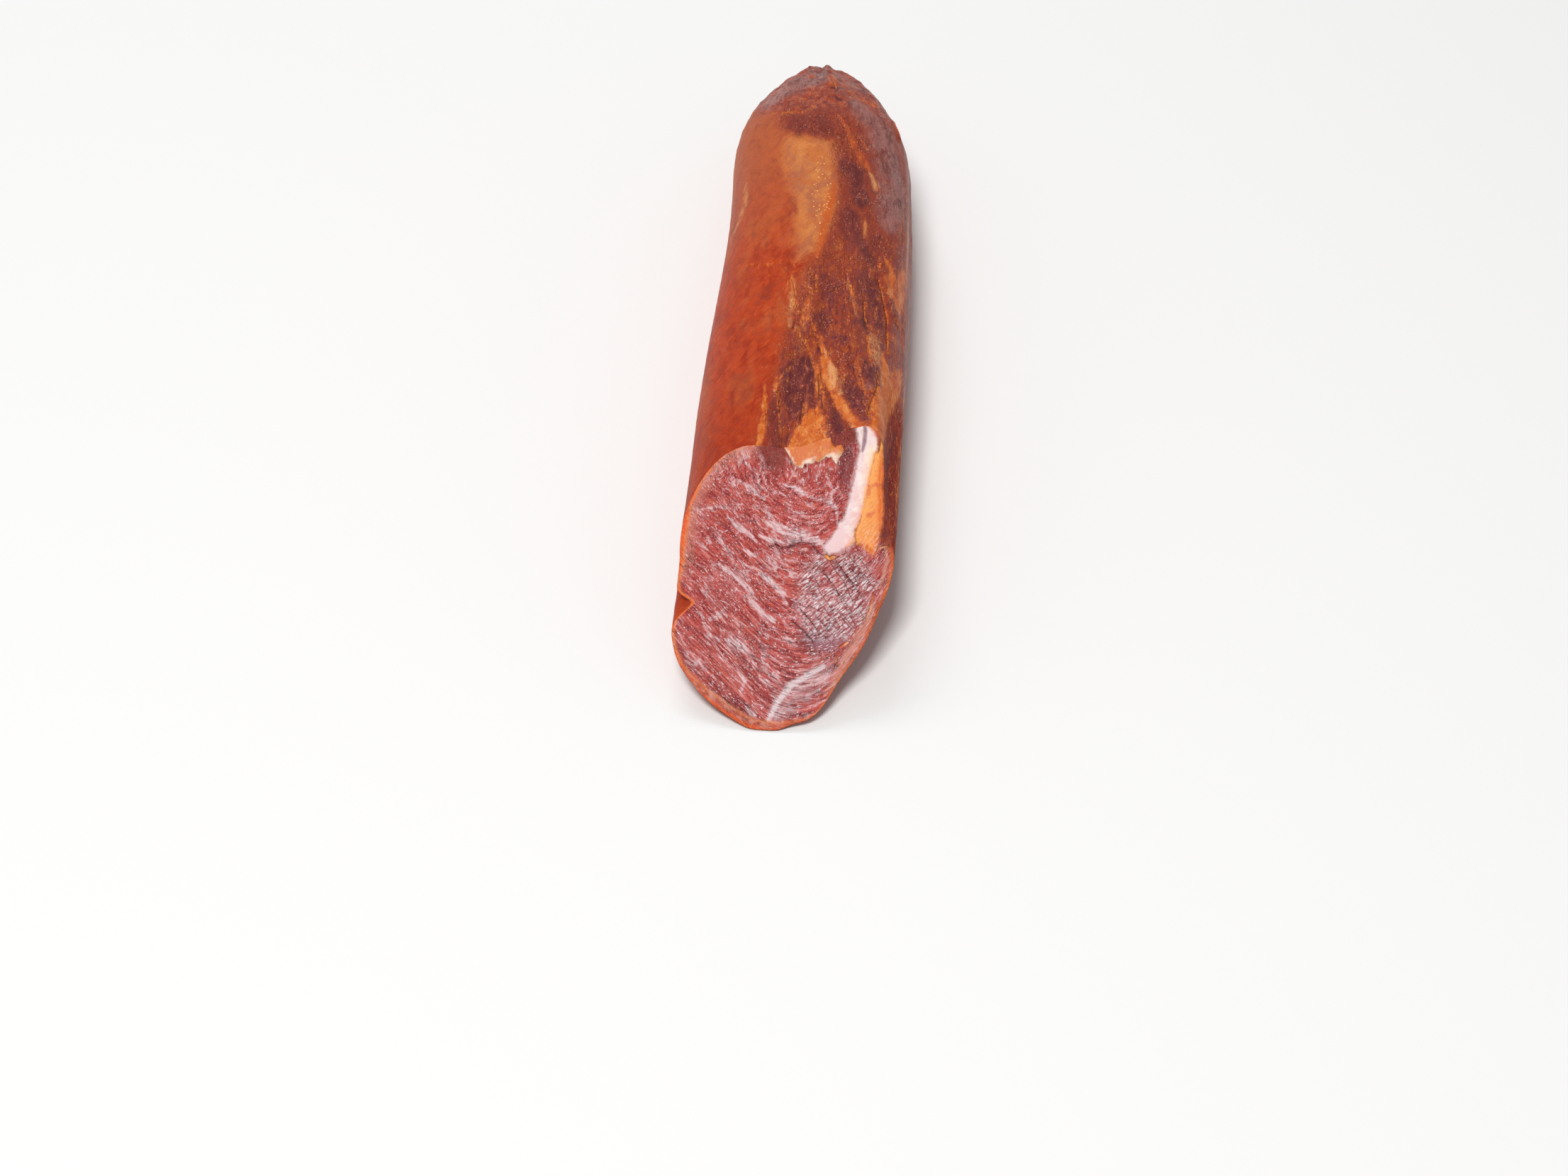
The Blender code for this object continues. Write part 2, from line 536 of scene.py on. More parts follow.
    def settled(self, z: Array) -> Array:
        """Height above the flat strip: nothing below the strip, a soft bend beside it.

        Args:
            z: Height before the meat settled.

        Returns:
            Height above what the loin lies on.
        """
        above = np.maximum(z - self.flat_depth, 0.0)
        bend = above**2 / (4.0 * self.flat_ease)
        return np.where(above < 2.0 * self.flat_ease, bend, above - self.flat_ease)

    def skin_point(self, distance: Array, angle: Array, relief: Array | float = 0.0) -> tuple[Array, Array]:
        """Place of the skin at a distance from the foot of the cut and an angle round the axis.

        Args:
            distance: Distance from the foot of the cut.
            angle: Angle round the axis in degrees.
            relief: Height of the finer relief.

        Returns:
            Place across, and height.
        """
        radius, axis = self.plain_radius(distance, angle)
        closed = self.closing(distance, angle, radius)
        share = np.clip(closed / radius, 0.0, 1.0)
        full = closed + relief
        x = full * np.cos(np.radians(angle)) - self.bend * fade(distance, self.bend_start, self.length)
        z = axis + (self.tip_height - axis) * (1.0 - share) + full * np.sin(np.radians(angle))
        toe = self.toe_lift * (1.0 - fade(distance, 0.0, self.toe_length))
        return x, self.settled(z) + toe

    def lip(self, angle: Array) -> Array:
        """How far the layer of fat at the top stands out of the cut."""
        return self.lip_height * hump(turn(angle, self.lip_angle), self.lip_width)

    def cut_distance(self, angle: Array, relief: Array | float = 0.0) -> Array:
        """Distance at which the slanting cut meets the skin.

        Args:
            angle: Angles round the axis in degrees.
            relief: Height of the skin's finer relief at the rim.

        Returns:
            Distance from the foot of the cut, for each angle.
        """
        distance = np.full_like(angle, self.cut_guess)
        for _ in range(self.cut_rounds):
            _, z = self.skin_point(distance, angle, relief)
            distance = z / math.tan(self.cut_slope) - self.lip(angle) / math.sin(self.cut_slope)
        return distance

    def mound_height(self, across: Array, up: Array) -> Array:
        """Soft rises and dips of the cut meat.

        Args:
            across: Places across the cut.
            up: Places up the cut.

        Returns:
            Height over the plane of the cut.
        """
        height = np.zeros_like(across)
        for mound in self.mounds:
            along, aside = swung(across - mound.across, up - mound.up, mound.direction)
            reach = (along / mound.half_length) ** 2 + (aside / mound.half_width) ** 2
            height = height + mound.height * np.exp(-reach)
        return height

    def right_of_top(self, angle: Array) -> Array:
        """Millimetres to the right of the top line, on the skin unrolled flat."""
        return -turn(angle, TOP) * math.pi * self.skin_radius / 180.0

    def rolled(self, along: Array, angle: Array) -> Array:
        """Places on the skin rolled up evenly, where its patterns are drawn.

        Args:
            along: Places along the loin, in millimetres.
            angle: Angle round the axis in degrees.

        Returns:
            Three numbers for each place, in millimetres.
        """
        ring = np.radians(angle)
        return np.stack([self.skin_radius * np.cos(ring), along, self.skin_radius * np.sin(ring)], axis=-1)


def crack(*places: Place, strength: float = 1.0) -> Strand:
    """A thin crack through these places."""
    return Strand(places, half_width=0.42, edge=1.0, strength=strength, taper=0.5)


def streak(half_width: float, *places: Place, strength: float = 1.0) -> Strand:
    """A soft streak of this half width through these places."""
    return Strand(places, half_width, edge=0.9, strength=strength, taper=0.5)


def zone(*places: Place, edge: float = 1.8, strength: float = 1.0) -> Area:
    """An area with a soft edge inside the outline through these places."""
    return Area(places, edge, strength)


@dataclass
class SkinMarks:
    """Patches, cracks and folds of the skin, and where a grey sheen and glints are painted on it.

    They lie on the skin unrolled flat, in millimetres: to the right of the line along the top,
    and along the loin from the foot of the cut.
    """

    bark: Area = zone(
        (62, 30), (-11.6, 30), (-11.6, 60), (-11.8, 80), (-10, 98), (-8.5, 104), (-8, 112), (-7, 124),
        (-6.5, 140), (-3.5, 156), (1.5, 164), (4.5, 178), (6, 190), (5.5, 215), (4, 226), (-10, 229.5),
        (-16, 235), (-19, 244), (-27, 251), (-33, 262), (-60, 285), (-100, 300), (62, 330),
    )
    pale: Area = zone(
        (-14, 228.4), (-5.5, 225.9), (2.8, 225.4), (4.4, 215.5), (5.5, 201.9), (5.5, 189.8), (3.1, 177.6),
        (0.5, 166), (-6, 161), (-7.5, 176.7), (-9.3, 191.8), (-12.6, 204.1), (-14.8, 216.4),
    )
    tan: tuple[Mark, ...] = (
        streak(1.6, (9.4, 110.6), (10.8, 105), (12.2, 99.5), (13.2, 96)),
        streak(0.8, (7, 118), (8, 113.5), strength=0.7),
        zone((20.7, 129), (23.2, 131.6), (25.3, 129.4), (26.9, 122.7), (24.8, 113), (22.6, 114.1),
             (21.2, 118.7), strength=0.7),
        streak(1.6, (-3.1, 127), (-1.5, 119.9), (-0.6, 112.7), strength=0.4),
        streak(1.6, (-7.1, 152.8), (-6.1, 138.1), (-6.1, 127.2), strength=0.55),
        streak(1.2, (0.1, 138.5), (-1.5, 131.2), (-1.7, 124.1), strength=0.4),
        streak(1.6, (-30.2, 211.4), (-29.9, 199.5), (-31.8, 192.7), (-36.9, 186.7), strength=0.75),
        streak(1.5, (18.8, 212.1), (20.4, 208.4), (21, 204.2), strength=0.8),
        streak(1.0, (12.6, 154.6), (14.7, 144.5), (16.9, 135.2), strength=0.6),
        streak(0.9, (17.7, 187.8), (18, 182.6), (18, 177.4), strength=0.7),
        streak(2.0, (37, 205), (37.6, 190), (37.2, 172), strength=0.6),
    )
    orange: tuple[Mark, ...] = (
        zone((-3.2, 66.8), (-2.8, 75.9), (-1.2, 80.5), (1.5, 82.8), (2.8, 86.2), (4.2, 89.3), (5.8, 88.8),
             (6.6, 94), (7.7, 89), (9.6, 84.1), (10.9, 80.4), (11.9, 75.2), (13, 71.1), (13.5, 65.8)),
        zone((5.5, 124.4), (7.5, 118.3), (9.1, 113.9), (11.3, 108.8), (12, 103), (12.9, 98), (14.5, 93.5),
             (16.1, 88.6), (17.7, 84.4), (19.9, 82.2), (20.3, 76.2), (17.4, 78.5), (15.3, 83.7), (13.1, 88.6),
             (11.3, 94.5), (9.1, 98.4), (7.1, 104.3), (6.1, 110.4), (5.6, 116.4), edge=1.2),
        zone((19.9, 78.8), (20.4, 86.5), (21.5, 92.7), (23.4, 101), (25.3, 110.1), (25, 119), (27.2, 126.7),
             (28.2, 120.4), (30.4, 117.6), (35.6, 124.7), (38, 124.1), (38.3, 116), (35.6, 106.2),
             (30.2, 91.7), (25.8, 76.7), (22.1, 76.5)),
        zone((24.8, 172.7), (26.6, 168.2), (27.5, 159.6), (26.4, 153.2), (29.6, 152.2), (32.6, 149.7),
             (34.5, 146.5), (36.9, 158.5), (37.4, 170.1), (35.6, 177), (29.9, 167.1), (27.7, 170.1),
             strength=0.85),
        zone((-2.6, 140), (0.6, 142.3), (1.2, 131.6), (-0.1, 124.2), (-2.3, 129.3), strength=0.8),
        streak(1.1, (5, 110.2), (6.2, 99), (7.5, 87.7), strength=0.8),
        streak(0.8, (2.4, 99.6), (2.8, 86.4), strength=0.6),
        streak(0.7, (17.2, 115.1), (18.5, 98.7), strength=0.6),
        streak(0.8, (-12.3, 99.6), (-12, 90.4), (-12, 84), strength=0.8),
        streak(1.4, (-12, 86), (-12.6, 80), (-13.2, 73.5), strength=0.9),
        streak(1.0, (-9, 103), (-8.6, 96), strength=0.7),
        streak(2.0, (5.2, 203), (4.2, 192), (2.8, 180.4), (2.3, 173.7), (1, 163.8), strength=0.8),
        zone((-12.6, 164.2), (-1.7, 158.3), (1, 149.6), (-2.8, 138.2), (-7.1, 134.6), (-11.5, 149.3),
             edge=3.0, strength=0.4),
        streak(1.0, (32, 252.4), (32, 247.5), (32.9, 244.1)),
        streak(1.3, (-10.4, 275.6), (-4.4, 276.2)),
        streak(0.9, (3, 273.1), (3.4, 267.5), (5, 262), strength=0.9),
        streak(0.9, (6.4, 276.5), (6.9, 271.5), (8.2, 266.5), strength=0.9),
        streak(0.6, (9.4, 271.5), (10.2, 267.5), (10.8, 263.5), strength=0.6),
        streak(1.2, (6.4, 241.9), (10.9, 228.7), (16.9, 217.8), (20.7, 206.7), strength=0.6),
        streak(0.9, (8.2, 234.9), (13.1, 221.5), (17, 214), strength=0.55),
        streak(0.9, (12.6, 232), (18.8, 223.7), strength=0.5),
        streak(1.2, (-11.5, 254), (-3.4, 251), (2, 246), strength=0.6),
        streak(1.4, (40.5, 246), (41, 222), (38.6, 205), (38, 186), (37.6, 163), strength=0.7),
        streak(1.6, (42, 125), (43, 100), (43, 70), (44, 52), strength=0.6),
        streak(2.0, (12, 262), (20, 256), (27, 252), strength=0.6),
    )
    purple: tuple[Mark, ...] = (
        zone((-8, 106.7), (-3.4, 111.8), (2.8, 113.4), (5, 107.5), (5.3, 97.2), (5.5, 87.5), (2.8, 89.8),
             (2.1, 84.5), (1, 82.6), (-3.4, 84.5), (-5.5, 90.2), (-6.6, 98.2), strength=0.9),
        zone((-11.3, 81.8), (-10.4, 93.4), (-8.8, 98.2), (-6.6, 87.2), (-5.5, 79.3), (-4.6, 68.1),
             (-8.4, 68.2), (-10.7, 72.3), strength=0.65),
        zone((9.3, 94.3), (12.9, 88), (15, 82.8), (16.3, 79.1), (17.9, 75.5), (17.9, 66.8), (13.8, 66),
             (11.8, 78.4), strength=0.9),
        zone((13.1, 101.4), (16.1, 104.9), (18.8, 99.7), (20.4, 94.5), (19.9, 85.3), (17.4, 86.2),
             (15.6, 91.1), (13.6, 95.9), strength=0.9),
        zone((19, 114.7), (22.6, 112.9), (24.2, 112.7), (23.4, 102.2), (21.5, 100.6), (19.6, 105.5)),
        zone((2.6, 135.4), (6.4, 138.1), (8.5, 132.8), (8.5, 122), (5.8, 125.3), (2.8, 130.1), strength=0.85),
        zone((15, 155.3), (17.7, 156.8), (19, 142.9), (17.4, 140.4), strength=0.8),
        zone((19.9, 156.3), (23.9, 163), (25.3, 150.8), (27.2, 141.2), (28, 131), (25.3, 130.5),
             (23.2, 136.5), (21.5, 144.5), strength=0.85),
        zone((5.5, 219.6), (11.3, 216.9), (17.2, 213.2), (17.2, 204.7), (19.6, 195.4), (15.8, 191.5),
             (11.8, 194), (9.8, 206.9), (6.4, 210), edge=2.5, strength=0.9),
        zone((7.5, 190), (12, 192.3), (16.1, 187.9), (18, 176.6), (24.2, 169.7), (24.5, 163.2), (21.2, 163.1),
             (15.9, 170), (10.5, 174), (7.5, 181), edge=2.5, strength=0.75),
        zone((1.2, 155.1), (6.4, 158.2), (10.9, 143.6), (10.2, 136.4), (6.4, 139.9), (2.3, 146.3), edge=2.0,
             strength=0.6),
        zone((-14.7, 240.1), (-8.8, 240.3), (1.2, 241.4), (5.5, 235.4), (5, 228.5), (-2.8, 226.3),
             (-11.3, 229), (-14.5, 233.7), edge=2.5, strength=0.6),
        streak(1.2, (29.9, 117.8), (32, 112.3), (31.5, 104), (31, 99), strength=0.7),
        streak(1.2, (27.3, 169.6), (28.6, 162.2), strength=0.8),
        Patch(20, 135, 5, 1.8, 90, 0.6, 0.9),
        streak(1.0, (28.6, 150.1), (31.3, 144.7), (33.6, 141.2)),
        streak(2.0, (37.5, 96), (36, 88), (34, 76), strength=0.8),
        streak(1.2, (26.5, 84), (27, 76), (25.5, 66), strength=0.8),
        streak(1.5, (44, 172), (39.5, 146), (40, 128), (41.5, 114), strength=0.6),
    )
    # Where a grey-violet sheen is painted: a painted reflection of the pale room on the skin.
    grey_sheen: tuple[Mark, ...] = (
        streak(7.0, (14.7, 250.8), (22.7, 238.6), (27, 226), (28.5, 210), (27, 188)),
        streak(6.5, (-24, 254), (-16, 262), (-8, 270), (0, 284)),
        streak(1.2, (33.5, 139.3), (36.2, 132.6), (38.9, 127.5), strength=0.9),
        streak(1.6, (21.5, 104), (20.5, 99), strength=0.7),
    )
    brown: Area = zone(
        (-15.3, 237.6), (-17, 245), (-6.9, 240.8), (2.3, 243), (7.5, 235.4), (6, 226), (-4.4, 227.1),
        (-12.3, 228.6),
    )
    cracks: tuple[Mark, ...] = (
        crack((-7.7, 152.7), (-5.8, 144.1), (-4.4, 136.4), strength=0.85),
        crack((1.5, 154.6), (2.3, 145), strength=0.7),
        crack((12.3, 157.1), (14.7, 146.3), (16.3, 137.9), strength=0.65),
        crack((19, 147.1), (19.9, 137.3), (21.7, 131.1)),
        crack((21.2, 128.1), (21.5, 120.7), (21.7, 115.6), strength=0.8),
        crack((24.2, 161.2), (26.1, 151.9), (28.2, 141.9), (28.6, 131.5), (29.1, 124.2)),
        crack((28.6, 150.1), (31.3, 144.7), (33.1, 143.2), strength=0.9),
        crack((24.2, 111.2), (23.2, 101.3), (21, 92.3), (20.1, 85.3)),
        crack((5.8, 106.4), (6.6, 98.5), (7.1, 92.4)),
        crack((7.1, 105.4), (8.2, 96.5), (9.3, 88.9), strength=0.65),
        crack((-1.5, 136.5), (-2.3, 128.7), (-2.1, 122.3), strength=0.7),
        crack((1.5, 130.4), (4.2, 123.2), (6.6, 115.9), strength=0.75),
        crack((0.1, 120.8), (2.6, 113.5), (4.8, 106.3), strength=0.75),
        crack((-11.5, 94.5), (-11.5, 87.4), (-11.8, 79.9), strength=0.85),
        crack((-8.5, 97.7), (-6.6, 88.2), (-6.1, 78.7), strength=0.9),
        crack((-4.2, 107.8), (-7.1, 103.2), (-8.5, 98.2), strength=0.6),
        crack((18.3, 110.1), (19, 101.6), (19.9, 95.6), strength=0.6),
        crack((9.8, 98.9), (11.8, 93.5), (13.4, 88.5), strength=0.65),
        crack((1.8, 90), (2, 84), (2.4, 78), strength=0.7),
        crack((6, 91), (7, 84), (7.2, 78), strength=0.7),
        crack((17.7, 187.8), (18, 182.6), (18, 177.4), strength=0.6),
        crack((32.4, 201.4), (32, 191.9), (33.1, 185.3), strength=0.6),
        crack((24.5, 172.2), (24.2, 164.6), strength=0.6),
        crack((4.7, 274.5), (5.2, 269), (6.6, 263)),
        crack((-10, 282), (-9, 274), strength=0.8),
    )
    creases: tuple[Mark, ...] = (
        streak(0.8, (-21.5, 245), (-15.6, 242.9), (-10.4, 242), (-6.1, 244.2), (-2.6, 247.1), strength=0.6),
        streak(0.5, (-25, 163.3), (-17.4, 160.5), (-7.1, 158.7), (5.5, 159.9), strength=0.5),
    )
    flakes: tuple[Mark, ...] = (
        streak(1.3, (32, 252.9), (32.2, 247.5), (32.9, 243.6)),
        streak(1.3, (-10.9, 275.6), (-4, 276.2), strength=0.7),
        streak(0.9, (3, 273.1), (3.4, 267.5), (5, 262), strength=0.8),
        streak(0.9, (6.4, 276.5), (6.9, 271.5), (8.2, 266.5), strength=0.8),
        streak(0.8, (9.3, 111.4), (11.3, 103), (13.1, 93.5), strength=0.5),
        streak(0.9, (26.2, 163), (28, 154), (30.2, 144), strength=0.5),
    )
    # Where painted gold glints sit, on small specks.
    sparkle: tuple[Mark, ...] = (
        Patch(0.5, 196, 26, 5, 92, 0.5),
        Patch(-2, 228, 12, 7, 0, 0.5, 0.6),
        Patch(13, 118, 34, 18, 90, 0.5, 0.5),
    )


@dataclass
class MeatMarks:
    """Fat, cracks and stains of the cut meat, where its sheen and glints are painted, and a painted shade
    under the torn ledge, in millimetres across and up the cut.
    """

    tallow: Area = zone(
        (17.2, 97.8), (18.5, 94.6), (19.5, 90.7), (19.6, 87.9), (19.3, 85.9), (18.9, 82.3), (18.1, 76.6),
        (17.1, 71.6), (16.2, 67.6), (14.7, 65.4), (12.6, 61.5), (10.2, 58), (11, 56.4), (12.6, 55.6),
        (15.3, 56.3), (16.8, 57.2), (18.9, 58.6), (20.3, 60.4), (19.9, 63.4), (21.4, 66.3), (22.8, 70.2),
        (23.6, 75.3), (24, 79.2), (24.3, 82.5), (25, 86.5), (25.8, 90.4), (26.3, 93.5), (25.5, 99),
    )
    margin: Area = zone(
        (25, 88), (23.9, 82.5), (23.4, 79.2), (22.9, 75.3), (22.2, 70.2), (21.5, 66.3), (20.4, 62.6),
        (20.9, 60.3), (22, 59.7), (23.2, 58.9), (24.9, 57.6), (26, 57.1), (26.6, 60.5), (27.2, 65),
        (27.6, 68.9), (27.5, 74.4), (26.7, 77.7), (27.1, 82.7), (26.5, 88.3),
    )
    flap: Area = zone(
        (-5.6, 92), (-3, 88.1), (-2.4, 87), (-1.1, 85.1), (0, 83.5), (1.7, 82.5), (2.8, 82.2), (3.5, 83.6),
        (6, 84), (6.5, 85.3), (7.6, 84.5), (9.2, 86.1), (11.3, 86.4), (12.1, 85.3), (13.1, 83.7), (13.8, 86),
        (15, 88.5), (14.6, 90.8), (13.3, 90.4), (12.3, 89.6), (11.1, 91.5), (10.4, 95), (10.2, 100),
        (-6.2, 100),
    )
    streaks: tuple[Mark, ...] = (
        streak(0.74, (-18, 78.4), (-14.9, 77), (-12, 74.6), (-8, 72)),
        streak(0.66, (-2.9, 77), (0.4, 76.4), (3.8, 74.3), (7.2, 73), (11.6, 72.5), (13.9, 70.4),
               (14.4, 65.4)),
        streak(0.57, (-27.4, 68.3), (-22, 69.1), (-18.2, 68.7), (-15.8, 66.1), strength=0.8),
        streak(0.82, (-19.6, 65.9), (-15.1, 62.8), (-12.2, 60.7), (-9.9, 58.6)),
        streak(0.74, (-9.5, 60.9), (-6.2, 59.6), (-2.8, 59), (1.5, 59.2), (3.6, 60.6)),
        streak(1.5, (-6.5, 65), (-3, 62.9), (0.5, 61.7), (3.8, 61), (7.2, 60.4), (10.6, 58.6), strength=1.1),
        streak(0.9, (-20.8, 51.3), (-16.4, 48.3), (-13.5, 45.7), (-10.1, 43.1)),
        streak(0.66, (-13.6, 56.2), (-11.3, 54.7), (-9.1, 54.2), strength=0.8),
        streak(1.1, (-7.7, 48.8), (-4.3, 46.2), (-1.4, 43.6), (0.4, 39.8)),
        streak(0.66, (-4.4, 57.2), (-2.6, 54.5), strength=0.9),
        streak(0.98, (-11, 40.3), (-7, 36.7), (-3, 34.1)),
        streak(1.2, (-23, 33.6), (-19.4, 36), (-17.7, 35), strength=0.8),
        streak(0.82, (-23.3, 29.3), (-21.1, 28.3), (-19.4, 27.3), strength=0.9),
        streak(1.6, (-17.3, 27.9), (-13.9, 25.9), (-11.1, 25)),
        streak(0.74, (-7.6, 28.4), (-5.1, 24.2), (-6.1, 21.4), strength=0.8),
        streak(0.98, (-29.9, 22.4), (-27.6, 19.2), (-25, 21), strength=0.8),
        streak(1.1, (-21.6, 11.8), (-18.2, 8.7), (-15.9, 7.2)),
        streak(1.1, (-10.4, 7), (-7.2, 5)),
        streak(0.57, (-5, 66), (-8.5, 70.5), (-12, 72), strength=0.6),
        streak(0.57, (0.3, 42), (6.9, 39.6), (11.8, 40.5), strength=0.8),
        streak(0.74, (0, 29.4), (4.4, 27.5), strength=0.7),
        streak(0.66, (-24, 61), (-20, 57), (-17, 53.5), strength=0.7),
        streak(0.57, (-27, 57.5), (-24.5, 55), strength=0.8),
        streak(0.66, (-26, 43), (-22, 40), (-19.5, 38.5), strength=0.6),
        streak(0.66, (-9, 17), (-4, 15), (-1, 12.5), strength=0.7),
        streak(0.66, (-14, 20), (-11, 16), (-12, 12), strength=0.7),
        streak(0.57, (13.5, 80), (14, 77), (12, 74.5), strength=0.7),
        streak(0.74, (-16, 86.5), (-14.5, 83), (-12, 80.5), strength=0.7),
        streak(0.74, (-11, 86.5), (-9.5, 84), strength=0.9),
        streak(0.66, (-21.5, 83), (-19.5, 80), (-18, 76), strength=0.5),
    )
    # Where a sheen band of the moist cut is painted.
    sheen: tuple[Mark, ...] = (
        streak(1.1, (-3.2, 3.6), (-0.8, 9.3), (3.2, 15.3), (7.6, 18.1), (12.8, 21.6)),
        streak(0.9, (-1.4, 3.2), (1.2, 8.3), (4.8, 13.4), (8.8, 15.8), (14, 19.3), strength=0.55),
        streak(0.9, (1, 3.9), (3, 8), (6, 12.2), (10, 14.5), strength=0.4),
        streak(4.4, (-1.5, 3.5), (1.5, 9), (5.5, 14), (9.5, 16.9), (14.5, 20.4), strength=0.42),
    )
    pale: tuple[Mark, ...] = (
        streak(0.7, (29.4, 60), (30.2, 54.8), (29.2, 49.7), (28.3, 46.2), strength=0.9),
        streak(1.6, (26.6, 41), (24.6, 34.5), (22.2, 29.8), (19.6, 24.8), (17.6, 20), (15.6, 15.6),
               strength=0.8),
        streak(1.0, (13.5, 12.5), (16.5, 17.5), (19, 22.5), strength=0.6),
    )
    # Where a pale frost of painted glints lies; bruises there turn lilac.
    glint_frost: tuple[Mark, ...] = (
        zone((3, 41), (8, 43.5), (13.5, 42), (18.5, 44.5), (22, 40), (21, 33), (18, 27), (12, 25.5),
             (6.5, 28.5), (3, 33.5), edge=2.5),
        zone((-18, 53), (-13, 50), (-10, 43), (-13, 37), (-19, 36.5), (-21, 44), edge=3.0, strength=0.5),
        zone((-16, 20), (-8, 22), (0, 25), (6, 22), (3, 14), (-6, 12), (-14, 12), edge=3.0, strength=0.25),
    )
    orange: tuple[Mark, ...] = (
        streak(1.2, (17.4, 58.2), (19.2, 60), (20.4, 62.2), strength=0.75),
        streak(0.8, (17.2, 27.1), (18.4, 28.2), (20, 29.2), strength=0.9),
        streak(0.8, (11.2, 55.6), (12.6, 54.6), (14.4, 55.4)),
        streak(0.6, (16, 22.5), (17.2, 26), strength=0.8),
        streak(0.8, (26.6, 45), (26, 40), (24.6, 36), strength=0.8),
        streak(0.5, (26.2, 57.4), (28, 58.6), (29.6, 59.4), strength=0.9),
        streak(1.0, (27, 95.5), (26.8, 92), (26.2, 87.5), strength=0.9),
    )
    dark: tuple[Mark, ...] = (
        Patch(16.2, 84, 9, 2.8, 90, 0.5, 0.9),
        Patch(12, 29.5, 7.5, 4.2, 10, 0.9),
        Patch(-8.3, 86, 5, 3, 100, 0.9, 0.6),
        Patch(8, 80, 6, 2.6, 0, 0.8, 0.5),
        streak(0.7, (21, 98), (21.4, 94.8), (21.3, 91.8), (20.8, 88.5)),
        # Painted shade under the torn ledge.
        streak(0.7, (-6.7, 57.2), (-1.7, 57.1), (2, 58.2), (5, 58.6), (9, 55.8), strength=0.7),
        Patch(18, 48, 8, 6, -40, 0.8, 0.35),
        Patch(7, 11, 9, 3, 40, 0.7, 0.5),
    )
    cracks: tuple[Mark, ...] = (
        crack((2, 35.2), (6.1, 31.9), (9.3, 28.6)),
        crack((6.8, 53.7), (11.3, 50.7), (14.2, 45.8), (17.6, 42.4), (21.1, 37.1), strength=0.9),
        crack((11.4, 56.7), (16, 51.2), (20.6, 46.3), (23, 43), strength=0.9),
        crack((14.3, 54.2), (19.4, 48.5), (24.1, 42.7), strength=0.8),
        crack((-6.7, 67.9), (-3.4, 67.8), (2, 67.9), (6.9, 68.3), strength=0.7),
        crack((5.2, 47), (9, 43), (13, 39.5), strength=0.7),
        crack((20.4, 59.2), (22, 57.4), (23.5, 55.5), strength=0.7),
        # Painted shadow line under the torn ledge, also cut as a groove.
        Strand(((-6.1, 57.6), (-4.2, 58.1), (-1.7, 57.3), (-0.1, 57.6), (2, 58.9),
                (4.1, 59.5), (6.9, 58.9), (9.2, 56.4), (10.9, 55.4)),
               half_width=0.5, edge=0.9, strength=0.95, taper=0.4),
        crack((4.4, 38.6), (7.8, 35.4), (11, 31.2), strength=0.8),
        crack((8.2, 38.2), (11.6, 34.8), (14.2, 31.4), strength=0.8),
        crack((11.6, 37.4), (14.2, 34.8), (17.4, 32.2), strength=0.8),
        crack((5.8, 33.6), (9.4, 34.4), (12.8, 36.4), strength=0.7),
        crack((9, 30.4), (12.4, 31.6), (16.2, 34.4), strength=0.7),
    )
    # Where the glossy block lies: a painted sheen with painted glints, and raised ribs.
    glossy: Area = zone(
        (8.2, 56.1), (13, 54.5), (19, 57.5), (24.5, 55.9), (27.3, 46.2), (24.4, 35.8), (18.4, 29.2),
        (8.2, 29.4), (3.6, 38.4), (4.2, 49.6),
    )
    ledge: tuple[Place, ...] = (
        (-9, 57.6), (-6.1, 58.1), (-4.2, 58.7), (-1.7, 57.9), (-0.1, 58.2), (2, 59.4), (4.1, 60), (6.9, 59.4),
        (9.2, 57), (10.9, 56), (12.6, 54.8), (15.3, 55.7), (18.9, 58.3), (20.4, 59.9), (23.2, 58.7),
        (26, 57.1), (29, 59),
    )
    rim: tuple[tuple[float, ...], ...] = (
        (-180, 0.5, 0, 0, 0), (-172, 0.9, 0, 0, 0), (-162, 0.6, 0, 0, 0), (-148, 1.6, 0, 0.6, 0),
        (-135, 3, 0.1, 1, 0), (-110, 3.2, 0.1, 1, 0), (-92, 2.4, 0.2, 0.7, 0), (-80, 1, 0.5, 0.2, 0),
        (-60, 0.4, 0.3, 0.2, 0), (-30, 0.5, 0.4, 0.2, 0), (-8, 1, 0.5, 0, 0), (4, 0.7, 0.2, 0, 0),
        (12, 1, 0.4, 0, 0), (18, 3.4, 1, 0, 0), (34, 3.4, 1, 0, 0), (44, 2, 0.9, 0, 0),
        (50, 0.6, 0.5, 0, 0.2), (56, -1, 0.6, 0, 0.9), (72, -1, 0.6, 0, 1), (78, -1, 0.3, 0, 0),
        (96, -1, 0.6, 0, 0.6), (100, -1, 0.8, 0, 1), (110, -1, 0.8, 0, 1), (116, 0, 0.1, 0, 0.4),
        (122, 0, 0, 0, 0), (140, 0.1, 0, 0, 0), (156, 0.8, 0, 0, 0), (163, 1.8, 0, 0, 0), (174, 1.4, 0, 0, 0),
        (180, 0.5, 0, 0, 0),
    )

    ledge_rise: float = 0.9
    ledge_start: float = 5.0
    ledge_step: Span = (-0.3, 0.4)
    ledge_fall: float = 0.9
    ledge_slope: Span = (1.0, 14.0)

    def ledge_height(self, across: Array, up: Array) -> Array:
        """Height of the torn ledge over the lower half of the cut.

        Args:
            across: Places across the cut, in millimetres.
            up: Places up the cut.

        Returns:
            Height in millimetres.
        """
        places, levels = np.array(self.ledge).T
        over = up - np.interp(across, places, levels)
        ends = fade(across, places[0], places[0] + self.ledge_start)
        fall = 1.0 - self.ledge_fall * fade(over, *self.ledge_slope)
        return self.ledge_rise * ends * fade(over, *self.ledge_step) * fall

